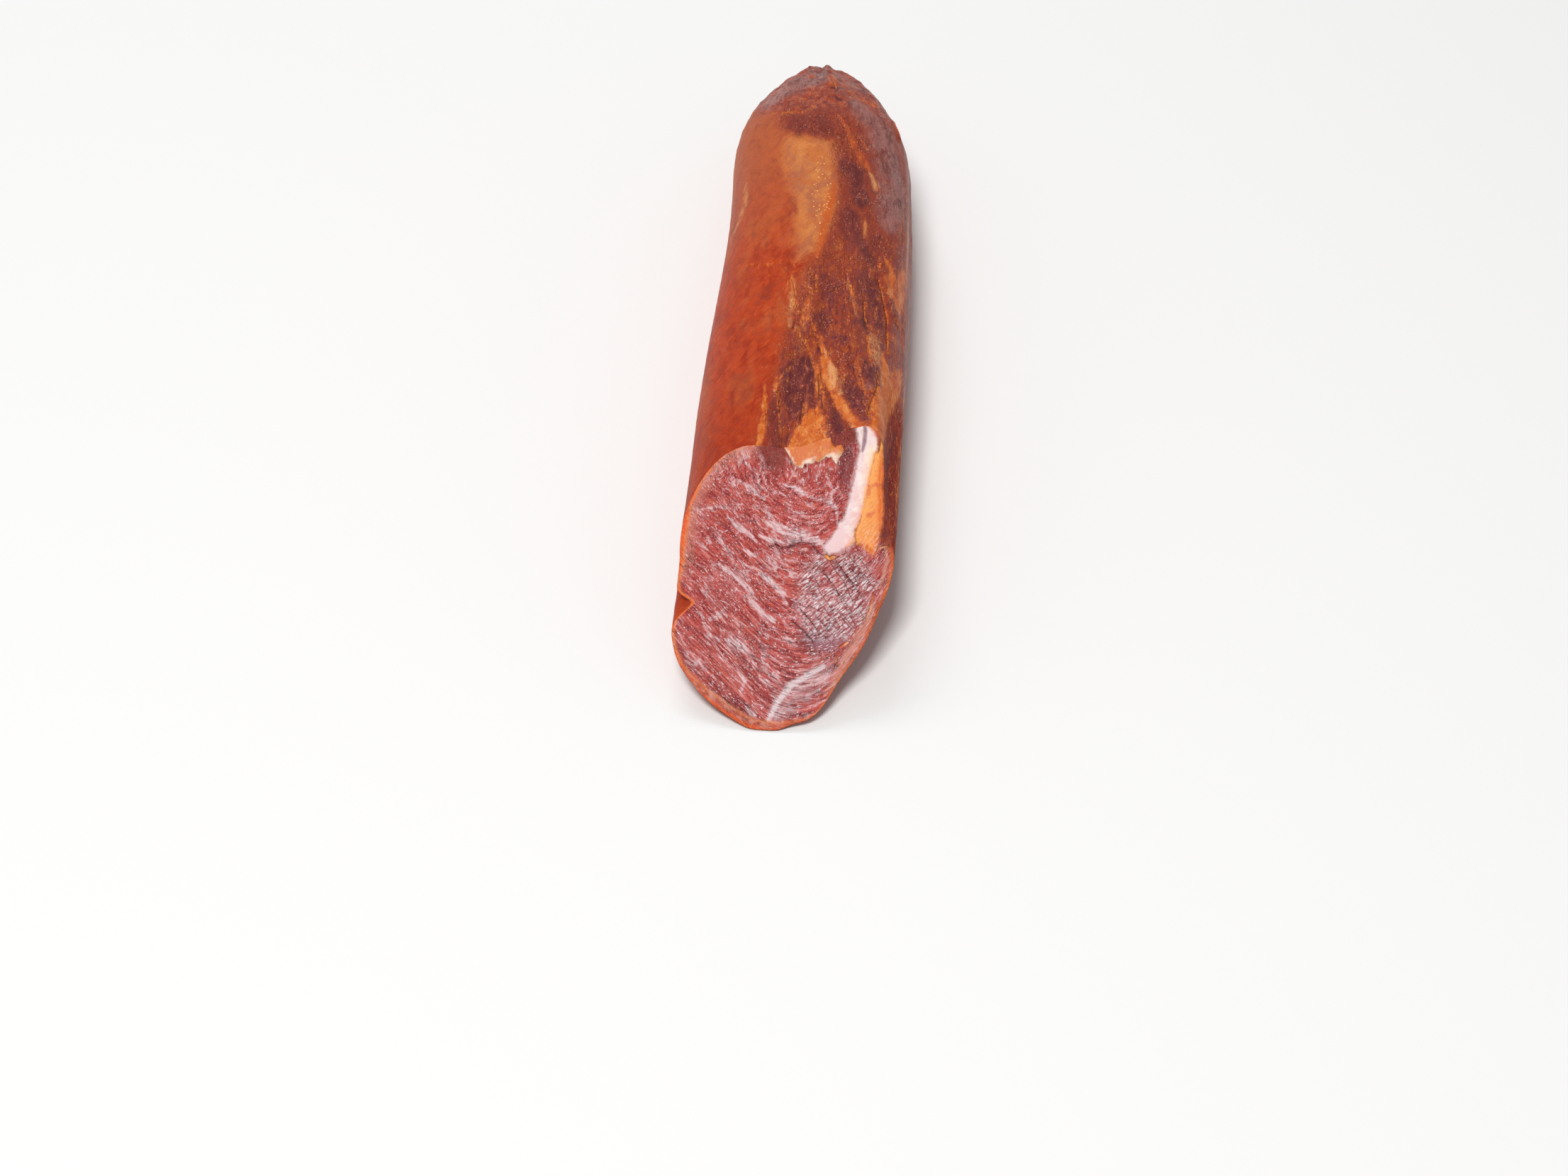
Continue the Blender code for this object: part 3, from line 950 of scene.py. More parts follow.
    def rim_table(self, angle: Array) -> tuple[Array, ...]:
        """What edges the cut at each angle.

        Args:
            angle: Angles round the axis in degrees.

        Returns:
            Width of the skin's edge in millimetres, how dark it is, how pale, and how brown the
            meat is beside it.
        """
        table = np.array(self.rim)
        turned = turn(angle, 0.0)
        return tuple(np.interp(turned, table[:, 0], table[:, i]) for i in range(1, 5))


@dataclass
class Relief:
    """Finer relief of the loin, in millimetres."""

    shape: LoinShape
    skin: SkinMarks
    meat: MeatMarks
    bark_edge: Span = (-2.0, 4.0)
    string_height: float = 0.30
    string_size: Sizes = (2.6, 24.0, 2.6)
    coarse_size: Sizes = (6.0, 50.0, 6.0)
    pore_height: float = 0.10
    pore_size: float = 2.4
    lump_size: float = 5.5
    fold_size: Sizes = (5.0, 9.0, 5.0)
    crack_depth: float = 0.55
    crease_depth: float = 0.35
    flake_height: float = 0.75
    wrinkle_height: float = 0.70
    wrinkle_reach: Span = (225.0, 275.0)
    gather_height: float = 0.3
    gather_count: float = 17.0
    gather_place: float = 12.0
    gather_length: float = 15.0
    tip_reach: float = 9.0
    underside: Span = (0.75, 0.9)
    fibre_height: float = 0.15
    fibre_size: Place = (7.0, 1.3)
    fibre_slope: float = -0.9
    fibre_bend: float = 0.0345
    fibre_bend_start: float = -8.0
    fibre_fan: Place = (8.0, 110.0)
    fibre_fan_reach: float = 60.0
    fibre_top: float = 77.0
    fibre_top_ease: float = 0.65
    fibre_closeness: float = 0.8
    rough_height: float = 0.10
    rough_size: Place = (1.5, 1.5)
    wave_height: float = 0.25
    wave_size: Place = (9.0, 9.0)
    rib_height: float = 0.16
    rib_size: Place = (7.0, 0.95)
    rib_lean: Place = (0.80, 0.60)
    gloss_edge: Span = (-2.0, 2.0)
    tallow_height: float = 0.25
    tallow_edge: Span = (-0.4, 0.9)
    flap_height: float = 0.85
    flap_edge: Span = (-0.2, 0.6)
    cut_depth: float = 0.70
    rise_height: float = 0.20
    rim_ease: Span = (0.3, 2.2)

    def on_skin(self, right: Array, along: Array, angle: Array) -> Array:
        """Strings, pores, cracks and wrinkles of the skin.

        Args:
            right: Places to the right of the top line, in millimetres.
            along: Places along the loin.
            angle: Angle round the axis in degrees.

        Returns:
            Height in metres.
        """
        ring = self.shape.rolled(along, angle)
        bark = fade(self.skin.bark.depth(right, along), *self.bark_edge)
        strings = layered(ring / np.array(self.string_size), Pattern.STRINGS)
        coarse = layered(ring / np.array(self.coarse_size), Pattern.COARSE, 2)
        pores = layered(ring / self.pore_size, Pattern.PORES, 2)
        lumps = layered(ring / self.lump_size, Pattern.LUMPS)
        folds = 0.5 - 1.6 * np.abs(layered(ring / np.array(self.fold_size), Pattern.FOLDS, 2))
        end = fade(along, *self.wrinkle_reach)
        left = self.shape.length / MM - along
        gathers = np.cos(np.radians(angle * self.gather_count) + 3.0 * coarse + 1.5 * lumps)
        gathers = gathers * hump(left - self.gather_place, self.gather_length)
        wrinkles = 0.5 * lumps + 0.6 * folds + 0.4 * pores
        height = self.string_height * bark * (1.0 - 0.9 * end) * (strings + 0.8 * coarse)
        height = height + self.pore_height * (1.0 - 0.5 * bark) * pores
        height = height + end * self.wrinkle_height * wrinkles + self.gather_height * gathers
        height = height - self.crack_depth * overlaid(self.skin.cracks, right, along)
        height = height - self.crease_depth * overlaid(self.skin.creases, right, along)
        height = height + self.flake_height * overlaid(self.skin.flakes, right, along)
        under = fade(-np.sin(np.radians(angle)), *self.underside)
        return height * MM * fade(left, 0.0, self.tip_reach) * (1.0 - under)

    def fibre_place(self, across: Array, up: Array) -> tuple[Array, Array]:
        """Places counted along and across the curved fibres of the meat.

        Args:
            across: Places across the cut, in millimetres.
            up: Places up the cut.

        Returns:
            Millimetres along the fibres and across them.
        """
        beyond = np.maximum(across - self.fibre_bend_start, 0.0)
        sag = self.fibre_slope * across + self.fibre_bend * beyond**2
        level = up - self.fibre_top_ease * np.maximum(up - self.fibre_top, 0.0)
        along = self.fibre_fan_reach * np.arctan2(across - self.fibre_fan[0], self.fibre_fan[1] - up)
        return along, self.fibre_closeness * (level - sag)

    def on_meat(self, across: Array, up: Array, edge: Array) -> Array:
        """Fibres, cracks, fat and the ledge of the cut meat.

        Args:
            across: Places across the cut, in millimetres.
            up: Places up the cut.
            edge: Distance from the rim.

        Returns:
            Height in metres.
        """
        meat = self.meat
        fibres = on_sheet(*self.fibre_place(across, up), self.fibre_size, Pattern.FIBRES, 3)
        rough = on_sheet(across, up, self.rough_size, Pattern.ROUGH)
        waves = on_sheet(across, up, self.wave_size, Pattern.WAVES)
        c, s = self.rib_lean
        ribs = on_sheet(across * c + up * s, up * c - across * s, self.rib_size, Pattern.RIBS)
        band = np.maximum(meat.tallow.depth(across, up), meat.margin.depth(across, up))
        tallow = fade(band + 0.5 * rough, *self.tallow_edge)
        flap = fade(meat.flap.depth(across, up) + 0.5 * rough, *self.flap_edge)
        glossy = fade(meat.glossy.depth(across, up), *self.gloss_edge)
        grain = self.fibre_height * fibres + self.rough_height * rough
        height = (1.0 - 0.7 * tallow) * grain + self.wave_height * waves
        height = height + self.rib_height * glossy * ribs + self.tallow_height * tallow
        height = height + meat.ledge_height(across, up)
        height = height - self.cut_depth * overlaid(meat.cracks, across, up)
        height = height + self.rise_height * overlaid(meat.orange, across, up)
        height = height * (1.0 - 0.6 * flap) + self.flap_height * flap
        return height * fade(edge, *self.rim_ease) * MM


class Wire:
    """A shader socket or a plain number that can be used in Python sums."""

    def __init__(self, bench: "Bench", value: "bpy.types.NodeSocket | float") -> None:
        """Keeps the socket and the bench it belongs to."""
        self.bench = bench
        self.value = value

    def _maths(self, operation: str, *others: "Wire | float") -> "Wire":
        """Adds one Math node.

        Args:
            operation: The Math node's operation.
            others: The other operands.

        Returns:
            The node's result.
        """
        return self.bench.maths(operation, self, *others)

    def __add__(self, other: "Wire | float") -> "Wire":
        """Sum."""
        return self._maths("ADD", other)

    __radd__ = __add__

    def __sub__(self, other: "Wire | float") -> "Wire":
        """Difference."""
        return self._maths("SUBTRACT", other)

    def __rsub__(self, other: float) -> "Wire":
        """Difference from a number."""
        return self.bench.maths("SUBTRACT", other, self)

    def __mul__(self, other: "Wire | float") -> "Wire":
        """Product."""
        return self._maths("MULTIPLY", other)

    __rmul__ = __mul__

    def __abs__(self) -> "Wire":
        """Size without sign."""
        return self._maths("ABSOLUTE")

    def at_least(self, other: "Wire | float") -> "Wire":
        """The larger of two."""
        return self._maths("MAXIMUM", other)

    def rise(self, start: float, end: float) -> "Wire":
        """Smooth step from 0 at start to 1 at end.

        Args:
            start: Where the rise begins.
            end: Where it ends.

        Returns:
            The eased share.
        """
        node = self.bench.node(
            "ShaderNodeMapRange",
            {"interpolation_type": "SMOOTHSTEP"},
            {"Value": self, "From Min": start, "From Max": end},
        )
        return Wire(self.bench, node.outputs["Result"])


class Bench:
    """Where one material's nodes are made and joined."""

    def __init__(self, name: str) -> None:
        """Starts a material with its surface shader.

        Args:
            name: The material's name.
        """
        self.material = bpy.data.materials.new(name)
        self.material.use_nodes = True
        self.tree = self.material.node_tree
        self.shader = self.tree.nodes["Principled BSDF"]

    def node(self, kind: str, settings: dict | None = None, sockets: dict | None = None) -> bpy.types.Node:
        """Adds one node.

        Args:
            kind: The node's type.
            settings: Its own settings, set first.
            sockets: Values or links of its sockets, by name or number.

        Returns:
            The node.
        """
        node = self.tree.nodes.new(kind)
        for name, value in (settings or {}).items():
            setattr(node, name, value)
        for name, value in (sockets or {}).items():
            self.feed(node.inputs[name], value)
        return node

    def feed(self, socket: bpy.types.NodeSocket, value: object) -> None:
        """Links a wire to a socket, or sets the socket's value.

        Args:
            socket: The socket.
            value: A wire, a number or a tuple.
        """
        inner = value.value if isinstance(value, Wire) else value
        if isinstance(inner, bpy.types.NodeSocket):
            self.tree.links.new(inner, socket)
        elif isinstance(inner, tuple) and socket.type == "RGBA":
            socket.default_value = (*inner[:3], 1.0)
        else:
            socket.default_value = inner

    def maths(self, operation: str, *values: Wire | float) -> Wire:
        """Adds one Math node.

        Args:
            operation: What it works out.
            values: Its operands.

        Returns:
            Its result.
        """
        node = self.node("ShaderNodeMath", {"operation": operation}, dict(enumerate(values)))
        return Wire(self, node.outputs[0])

    def vector(self, operation: str, *values: Wire | tuple) -> Wire:
        """Adds one Vector Math node.

        Args:
            operation: What it works out.
            values: Its operands.

        Returns:
            Its vector result.
        """
        node = self.node("ShaderNodeVectorMath", {"operation": operation}, dict(enumerate(values)))
        return Wire(self, node.outputs[0])

    def mark(self, name: str) -> Wire:
        """A vector kept on the mesh under this name."""
        node = self.node("ShaderNodeAttribute", {"attribute_name": name})
        return Wire(self, node.outputs["Vector"])

    def split(self, vector: Wire) -> tuple[Wire, Wire, Wire]:
        """The three numbers of a vector.

        Args:
            vector: The vector.

        Returns:
            Its X, Y and Z.
        """
        node = self.node("ShaderNodeSeparateXYZ", {}, {0: vector})
        return tuple(Wire(self, out) for out in node.outputs)

    def join(self, x: Wire | float, y: Wire | float, z: Wire | float = 0.0) -> Wire:
        """Makes a vector of three numbers.

        Args:
            x: First number.
            y: Second number.
            z: Third number.

        Returns:
            The vector.
        """
        node = self.node("ShaderNodeCombineXYZ", {}, {0: x, 1: y, 2: z})
        return Wire(self, node.outputs[0])

    def noise(
        self, place: Wire, size: float | Sizes, detail: float = 3.0, rough: float = 0.55, twist: float = 0.0
    ) -> Wire:
        """Random mottling.

        Args:
            place: Where, in millimetres.
            size: Size of the mottles in millimetres, one number or one for each direction.
            detail: How many finer layers.
            rough: Strength of the finer layers.
            twist: How far the pattern is pulled about.

        Returns:
            Values around 0.5.
        """
        sizes = size if isinstance(size, tuple) else (size, size, size)
        scaled = self.vector("DIVIDE", place, sizes)
        node = self.node(
            "ShaderNodeTexNoise",
            {"noise_dimensions": "3D"},
            {"Vector": scaled, "Scale": 1.0, "Detail": detail, "Roughness": rough, "Distortion": twist},
        )
        return Wire(self, node.outputs["Fac"])

    def cells(self, place: Wire, size: float) -> Wire:
        """Distance within random cells.

        Args:
            place: Where, in millimetres.
            size: Size of the cells in millimetres.

        Returns:
            The distance, in cells.
        """
        scaled = self.vector("DIVIDE", place, (size, size, size))
        node = self.node("ShaderNodeTexVoronoi", {"feature": "F1"}, {"Vector": scaled, "Scale": 1.0})
        return Wire(self, node.outputs["Distance"])

    def blend(self, share: Wire | float, first: Wire | Colour, second: Wire | Colour) -> Wire:
        """Mixes two colours.

        Args:
            share: How much of the second.
            first: First colour.
            second: Second colour.

        Returns:
            The mixed colour.
        """
        node = self.node("ShaderNodeMix", {"data_type": "RGBA"}, {0: share, 6: first, 7: second})
        return Wire(self, node.outputs[2])

    def cover(self, colour: Wire | Colour, roughness: Wire | float, shine: Wire | float) -> None:
        """Feeds the look of the surface to the shader.

        Args:
            colour: Its colour.
            roughness: How matt it is, 0 to 1.
            shine: How strongly it reflects, 0.5 for most materials.
        """
        for name, value in (("Base Color", colour), ("Roughness", roughness), ("Specular IOR Level", shine)):
            self.feed(self.shader.inputs[name], value)

    def raise_surface(self, height: Wire, depth: float) -> None:
        """Feeds a Bump node to the shader.

        Args:
            height: Height, 0 to 1 or so.
            depth: What a height of 1 measures, in metres.
        """
        node = self.node("ShaderNodeBump", {}, {"Strength": 1.0, "Distance": depth, "Height": height})
        self.feed(self.shader.inputs["Normal"], Wire(self, node.outputs[0]))


@dataclass(frozen=True)
class SkinFinish:
    """Dried skin: smooth orange on the left, dark and stringy on the right, with waxy pale patches, a painted
    grey sheen and painted glints.
    """

    orange: Colour = paint(188, 64, 20)
    orange_bright: Colour = paint(210, 82, 20)
    orange_deep: Colour = paint(156, 42, 12)
    orange_far: Colour = paint(186, 98, 58)
    dusky: Colour = paint(150, 64, 42)
    red_brown: Colour = paint(160, 64, 36)
    purple: Colour = paint(132, 58, 54)
    plum: Colour = paint(84, 34, 40)
    amber: Colour = paint(196, 98, 46)
    tan: Colour = paint(218, 152, 98)
    wax: Colour = paint(216, 132, 70)
    wax_grey: Colour = paint(186, 108, 72)
    glint_gold: Colour = paint(250, 176, 104)
    glint_ember: Colour = paint(232, 128, 54)
    brown: Colour = paint(150, 60, 40)
    grey_sheen: Colour = paint(164, 120, 116)
    mauve: Colour = paint(98, 46, 46)
    rind: Colour = paint(140, 32, 14)
    ochre: Colour = paint(202, 106, 48)
    golden: Colour = paint(206, 100, 34)
    golden_pale: Colour = paint(224, 144, 78)
    rust: Colour = paint(192, 74, 28)
    glint_speck: Colour = paint(232, 172, 148)
    speck_dull: Colour = paint(188, 108, 84)
    dark: Colour = paint(50, 14, 10)
    shine: float = 0.11
    relief: float = 0.0006

    def make(self) -> bpy.types.Material:
        """Builds the material.

        Returns:
            The material.
        """
        b = Bench("dried_skin")
        place = b.mark("skin_place")
        side, pale, brown = b.split(b.mark("skin_areas"))
        crack, tan, bright = b.split(b.mark("skin_lines"))
        purple, grey_sheen, sparkle = b.split(b.mark("skin_stains"))
        right, far, level = b.split(place)
        end = far.rise(232.0, 256.0)
        other = b.vector("ADD", place, (70.0, 30.0, 50.0))
        broad = b.noise(place, (10.0, 24.0, 10.0), 3.0, 0.55, 0.4)
        blotch = b.noise(place, (5.0, 10.0, 5.0), 4.0, 0.60, 1.0)
        dusk = b.noise(other, (6.0, 9.0, 6.0), 4.0, 0.62, 1.0)
        mottle = b.noise(place, (2.4, 3.8, 2.4), 4.0, 0.64, 0.6)
        fine = b.noise(place, 0.8, 3.0, 0.6)
        sway = (broad - 0.5) * 14.0
        swayed = b.vector("ADD", place, b.join(sway, 0.0, sway))
        strings = b.noise(swayed, (1.0, 8.0, 1.0), 4.0, 0.62, 1.0)
        lumps = b.noise(place, 3.6, 4.0, 0.6, 0.8)
        rise = (right + level) * 0.8
        slant = b.noise(b.join(far - rise, far + rise, level), (1.1, 7.0, 9.0), 3.0, 0.6, 0.8)
        loose = (strings - 0.5) * 1.3 + (mottle - 0.5) * 0.8
        bark = (side + (blotch - 0.5) * 14.0 + (mottle - 0.5) * 7.0 + (strings - 0.5) * 4.0).rise(-3.5, 3.0)

        smooth = b.blend((blotch * 0.7 + mottle * 0.3).rise(0.36, 0.58), self.orange_deep, self.orange)
        smooth = b.blend((dusk * 0.4 + slant * 0.6).rise(0.50, 0.66) * 0.7, smooth, self.orange_bright)
        smooth = b.blend(far.rise(150.0, 240.0) * 0.8, smooth, self.orange_far)
        smooth = b.blend(broad.rise(0.48, 0.70) * 0.6, smooth, self.amber)
        smooth = b.blend((dusk * 0.7 + mottle * 0.3).rise(0.50, 0.36) * 0.5, smooth, self.dusky)
        smooth = b.blend(fine.rise(0.56, 0.75) * slant.rise(0.55, 0.40) * 0.55, smooth, self.orange_deep)
        smooth = b.blend(far.rise(140.0, 60.0) * 0.4, smooth, self.orange_deep)

        tone = blotch * 0.42 + strings * 0.23 + mottle * 0.35
        tone = tone * (1.0 - end) + (lumps * 0.5 + blotch * 0.5) * end
        stringy = b.blend(tone.rise(0.41, 0.53), self.purple, self.red_brown)
        stringy = b.blend(tone.rise(0.51, 0.64), stringy, self.amber)
        stringy = b.blend(far.rise(150.0, 190.0) * 0.55, stringy, self.brown)
        colour = b.blend(bark, smooth, stringy)

        knobbly = lumps * 0.6 + mottle * 0.4
        rough_end = end * (bark * 0.55 + 0.20)
        colour = b.blend(knobbly.rise(0.53, 0.63) * rough_end, colour, self.speck_dull)
        colour = b.blend(knobbly.rise(0.48, 0.40) * rough_end, colour, self.plum)
        colour = b.blend((broad * 0.5 + dusk * 0.5).rise(0.50, 0.60) * end * 0.6, colour, self.rust)
        red = level.rise(24.0, 17.0) * right.rise(8.0, 18.0) * far.rise(124.0, 98.0)
        dried = b.blend((strings * 0.7 + mottle * 0.3).rise(0.50, 0.62), self.rind, self.rust)
        colour = b.blend((red * 1.3 + loose * 1.2 - 0.3).rise(0.0, 1.0) * 0.85, colour, dried)
        # Painted grey-violet sheen: a reflection of the pale room painted into the colour.
        violet_sheen = b.blend((broad * 0.4 + blotch * 0.3 + strings * 0.3).rise(0.42, 0.56), self.mauve, self.grey_sheen)
        sheen_haze = (grey_sheen * 1.4 + loose * 0.7 + (dusk - 0.5) * 1.8 - 0.35).rise(-0.3, 1.4)
        colour = b.blend(sheen_haze * 0.8, colour, violet_sheen)
        colour = b.blend((brown * 0.20 + loose * 0.7).rise(-0.5, 0.7) * 0.85, colour, self.brown)
        wax = b.blend((broad * 0.5 + blotch * 0.5).rise(0.42, 0.58), self.wax_grey, self.wax)
        wax = b.blend(dusk.rise(0.50, 0.62) * 0.5, wax, self.amber)
        waxed = (pale * 0.16 + (mottle - 0.5) * 0.5 + (dusk - 0.5) * 1.6).rise(-0.6, 0.6)
        colour = b.blend(waxed * 0.95, colour, wax)
        wine = b.blend((dusk * 0.4 + mottle * 0.6).rise(0.43, 0.57), self.plum, self.purple)
        wine = b.blend((strings * 0.6 + fine * 0.4).rise(0.54, 0.66) * 0.6, wine, self.red_brown)
        stained = (purple * 1.4 + loose * 1.5 + (blotch - 0.5) * 1.6 - 0.3).rise(-0.1, 1.1)
        colour = b.blend(stained * 0.88, colour, wine)
        drawn = b.noise(swayed, (1.1, 20.0, 1.1), 3.0, 0.6, 0.6)
        loosely = bark * (1.0 - end) * (1.0 - grey_sheen * 0.8) * (1.0 - far.rise(140.0, 190.0) * 0.7)
        colour = b.blend((drawn * 0.7 + mottle * 0.3).rise(0.54, 0.64) * loosely * 0.5, colour, self.ochre)
        colour = b.blend((drawn * 0.7 + dusk * 0.3).rise(0.47, 0.38) * loosely * 0.6, colour, self.plum)
        lit = b.blend(far.rise(125.0, 150.0) * right.rise(20.0, 12.0) * 0.5, self.golden, self.rust)
        ripe = (mottle * 0.5 + strings * 0.2 + dusk * 0.3).rise(0.46, 0.62) * far.rise(190.0, 140.0)
        lit = b.blend(ripe * 0.8, lit, self.golden_pale)
        lit = b.blend((blotch * 0.5 + mottle * 0.5).rise(0.47, 0.38) * 0.7, lit, self.rust)
        shown = (bright * 1.5 + loose * 1.7 + (blotch - 0.5) - 0.45).rise(-0.1, 1.0)
        lit = b.blend(shown.rise(0.85, 0.25) * 0.75, lit, self.amber)
        colour = b.blend(shown * 0.95, colour, lit)
        dull = b.blend((strings * 0.6 + mottle * 0.4).rise(0.40, 0.56), self.amber, self.tan)
        colour = b.blend((tan * 1.3 + loose * 0.8 - 0.25).rise(0.0, 1.1) * 0.9, colour, dull)
        # Painted glints: small pale pricks on the dark skin.
        glint_pricks = b.cells(place, 0.9).rise(0.32, 0.12) * (mottle * 0.5 + dusk * 0.5).rise(0.45, 0.57)
        colour = b.blend(glint_pricks * bark * 0.65, colour, self.glint_speck)
        pits = b.cells(other, 1.1).rise(0.34, 0.14) * (mottle * 0.5 + blotch * 0.5).rise(0.52, 0.42)
        colour = b.blend(pits * bark * 0.45, colour, self.dark)
        # Painted gold glints where the sparkle marks lie.
        glint_specks = b.cells(other, 1.5).rise(0.28, 0.14) * (sparkle * 1.2 + mottle - 0.5).rise(0.75, 1.1)
        colour = b.blend(glint_specks, colour, self.glint_gold)

        # Painted golden highlight along the edges of the cracks.
        edge = (crack + (mottle - 0.5) * 0.9).rise(0.05, 0.40)
        colour = b.blend(edge * (strings * 0.5 + fine * 0.5).rise(0.44, 0.56) * 0.65, colour, self.glint_ember)
        colour = b.blend((crack + (mottle - 0.5) * 0.6).rise(0.62, 0.95) * 0.75, colour, self.dark)
        lines = abs(strings - 0.5).rise(0.020, 0.0) * (dusk + mottle - 0.5).rise(0.46, 0.60)
        lines = lines * (1.0 - end) * bark
        colour = b.blend(lines * (1.0 - shown) * 0.15, colour, self.dark)

        b.cover(colour, 0.42 - bark * 0.10 + red * 0.35 + (fine - 0.5) * 0.3, self.shine)
        height = strings * (0.15 + 0.60 * bark * (1.0 - end)) * (1.0 - shown * 0.75)
        height = height + fine * 0.5 + mottle * 0.6
        height = height + slant * (1.0 - bark) * 0.8 - lines * (1.0 - shown) * 0.25
        b.raise_surface(height + end * lumps * 1.6, self.relief)
        return b.material


@dataclass(frozen=True)
class MeatFinish:
    """Cut meat: pink red, marbled along its fibres, moist, with bands of fat and a dried rim; its wet glints
    and sheen are partly painted into the colour.
    """

    flesh: Colour = paint(204, 78, 68)
    flesh_deep: Colour = paint(146, 30, 34)
    flesh_warm: Colour = paint(222, 110, 86)
    flesh_pale: Colour = paint(214, 140, 144)
    flesh_dull: Colour = paint(216, 136, 118)
    lilac: Colour = paint(128, 82, 100)
    cream: Colour = paint(236, 166, 144)
    marbling: Colour = paint(244, 206, 208)
    tallow: Colour = paint(248, 224, 216)
    tallow_pink: Colour = paint(234, 184, 180)
    tallow_lilac: Colour = paint(228, 204, 210)
    tallow_cream: Colour = paint(246, 212, 176)
    slit: Colour = paint(126, 78, 96)
    orange: Colour = paint(234, 118, 34)
    orange_pale: Colour = paint(246, 160, 70)
    orange_red: Colour = paint(206, 70, 22)
    stain_and_shade: Colour = paint(104, 40, 48)
    brown: Colour = paint(140, 46, 34)
    rind: Colour = paint(244, 88, 20)
    rind_glint_gold: Colour = paint(254, 156, 84)
    rind_dark: Colour = paint(126, 34, 16)
    strip: Colour = paint(190, 84, 66)
    strip_pale: Colour = paint(218, 142, 122)
    flap: Colour = paint(212, 104, 36)
    flap_warm: Colour = paint(226, 146, 76)
    flap_pale: Colour = paint(250, 224, 204)
    # Colour of the painted glints and sheen.
    gleam: Colour = paint(252, 236, 240)
    dark: Colour = paint(80, 18, 24)
    shine: float = 0.5
    relief: float = 0.0007

    def make(self) -> bpy.types.Material:
        """Builds the material.

        Returns:
            The material.
        """
        b = Bench("cut_meat")
        place = b.mark("meat_place")
        along, aside, pale = b.split(b.mark("meat_fibre"))
        tallow, margin, flap = b.split(b.mark("meat_areas"))
        streak, crack, stain_and_shade = b.split(b.mark("meat_lines"))
        rim, rim_dark, rim_pale = b.split(b.mark("meat_rim"))
        glossy, brown, sheen = b.split(b.mark("meat_stains"))
        across, up, glint_frost = b.split(place)
        place = b.join(across, up, 0.0)
        fibre = b.join(along, aside, 0.0)
        other = b.vector("ADD", fibre, (50.0, 70.0, 0.0))
        mottle = b.noise(place, 2.4, 4.0, 0.62, 0.6)
        broad = b.noise(place, 8.0, 3.0, 0.55, 0.6)
        cloud = b.noise(fibre, (9.0, 4.0, 1.0), 3.0, 0.6, 0.8)
        warmth = b.noise(other, (14.0, 5.0, 1.0), 3.0, 0.6, 0.6)
        threads = b.noise(fibre, (6.0, 0.7, 1.0), 4.0, 0.62, 0.5)
        veins = abs(b.noise(other, (12.0, 3.4, 1.0), 4.0, 0.55, 0.9) - 0.5)
        fringe = b.noise(fibre, (2.0, 1.1, 1.0), 4.0, 0.7, 1.0)
        speckle = b.noise(place, 0.5, 3.0, 0.65)
        grain = b.noise(fibre, (0.9, 0.45, 1.0), 2.0, 0.6)
        loose = (mottle - 0.5) * 1.2

        tone = cloud * 0.25 + mottle * 0.25 + threads * 0.50 + (speckle - 0.5) * 0.35
        colour = b.blend(tone.rise(0.40, 0.53), self.flesh_deep, self.flesh)
        colour = b.blend((warmth * 0.7 + threads * 0.3).rise(0.50, 0.66) * 0.45, colour, self.flesh_warm)
        haze = streak * 0.5 + (cloud - 0.5) * 1.2 + (broad - 0.5) + (threads - 0.5)
        haze = haze.rise(-0.05, 0.50)
        colour = b.blend(haze * 0.62, colour, self.flesh_pale)
        thin = veins.rise(0.030, 0.004) * (cloud * 0.5 + fringe * 0.5).rise(0.42, 0.56)
        fatty = streak * 0.60 + (threads - 0.5) * 1.7 + (fringe - 0.5) * 1.7 + (cloud - 0.5) * 0.9
        fatty = fatty.rise(0.22, 0.72).at_least(thin * 0.75)
        colour = b.blend(fatty * 0.92, colour, self.marbling)
        near = rim.rise(6.0, 0.5) * across.rise(-2.0, -14.0) * up.rise(38.0, 56.0)
        colour = b.blend((near + loose * 0.6).rise(0.1, 1.1) * 0.6, colour, self.flesh_dull)
        # Painted pale haze of glints where the glint frost lies.
        colour = b.blend((glint_frost + loose * 0.7).rise(0.1, 1.1) * 0.55, colour, self.flesh_pale)
        low = up.rise(48.0, 18.0) * (cloud * 0.4 + threads * 0.6).rise(0.56, 0.44)
        colour = b.blend(low * 0.35, colour, self.stain_and_shade)
        plum = b.blend(glint_frost.rise(0.2, 0.8), self.stain_and_shade, self.lilac)
        # Bruises, with the painted shade under the torn ledge.
        bruised = (stain_and_shade * 1.2 + loose * 1.5 + (threads - 0.5) * 1.8 - 0.25).rise(0.0, 1.0)
        colour = b.blend(bruised * 0.72, colour, plum)
        slits = abs(b.noise(other, (5.0, 1.3, 1.0), 2.0, 0.5, 0.5) - 0.5).rise(0.022, 0.0)
        slits = slits * (mottle * 0.5 + broad * 0.5).rise(0.44, 0.58)
        colour = b.blend(slits * 0.5, colour, self.dark)

        # The glossy block: a painted paler sheen with painted glints along its ticks.
        sheen_block = (glossy + loose * 1.2 + (fringe - 0.5) * 3.0).rise(-2.0, 2.5)
        woven = b.join(across * 0.76 + up * 0.65, up * 0.76 - across * 0.65, 0.0)
        ticks = b.noise(woven, (2.4, 0.55, 1.0), 3.0, 0.6, 0.4)
        colour = b.blend(sheen_block * 0.40, colour, self.flesh_pale)
        colour = b.blend(sheen_block * ticks.rise(0.50, 0.42) * 0.6, colour, self.flesh_deep)
        lit = sheen_block * (ticks * 0.75 + speckle * 0.25).rise(0.47, 0.55)
        lit = lit * (mottle * 0.6 + broad * 0.4).rise(0.40, 0.54)
        colour = b.blend(lit * 0.9, colour, self.gleam)
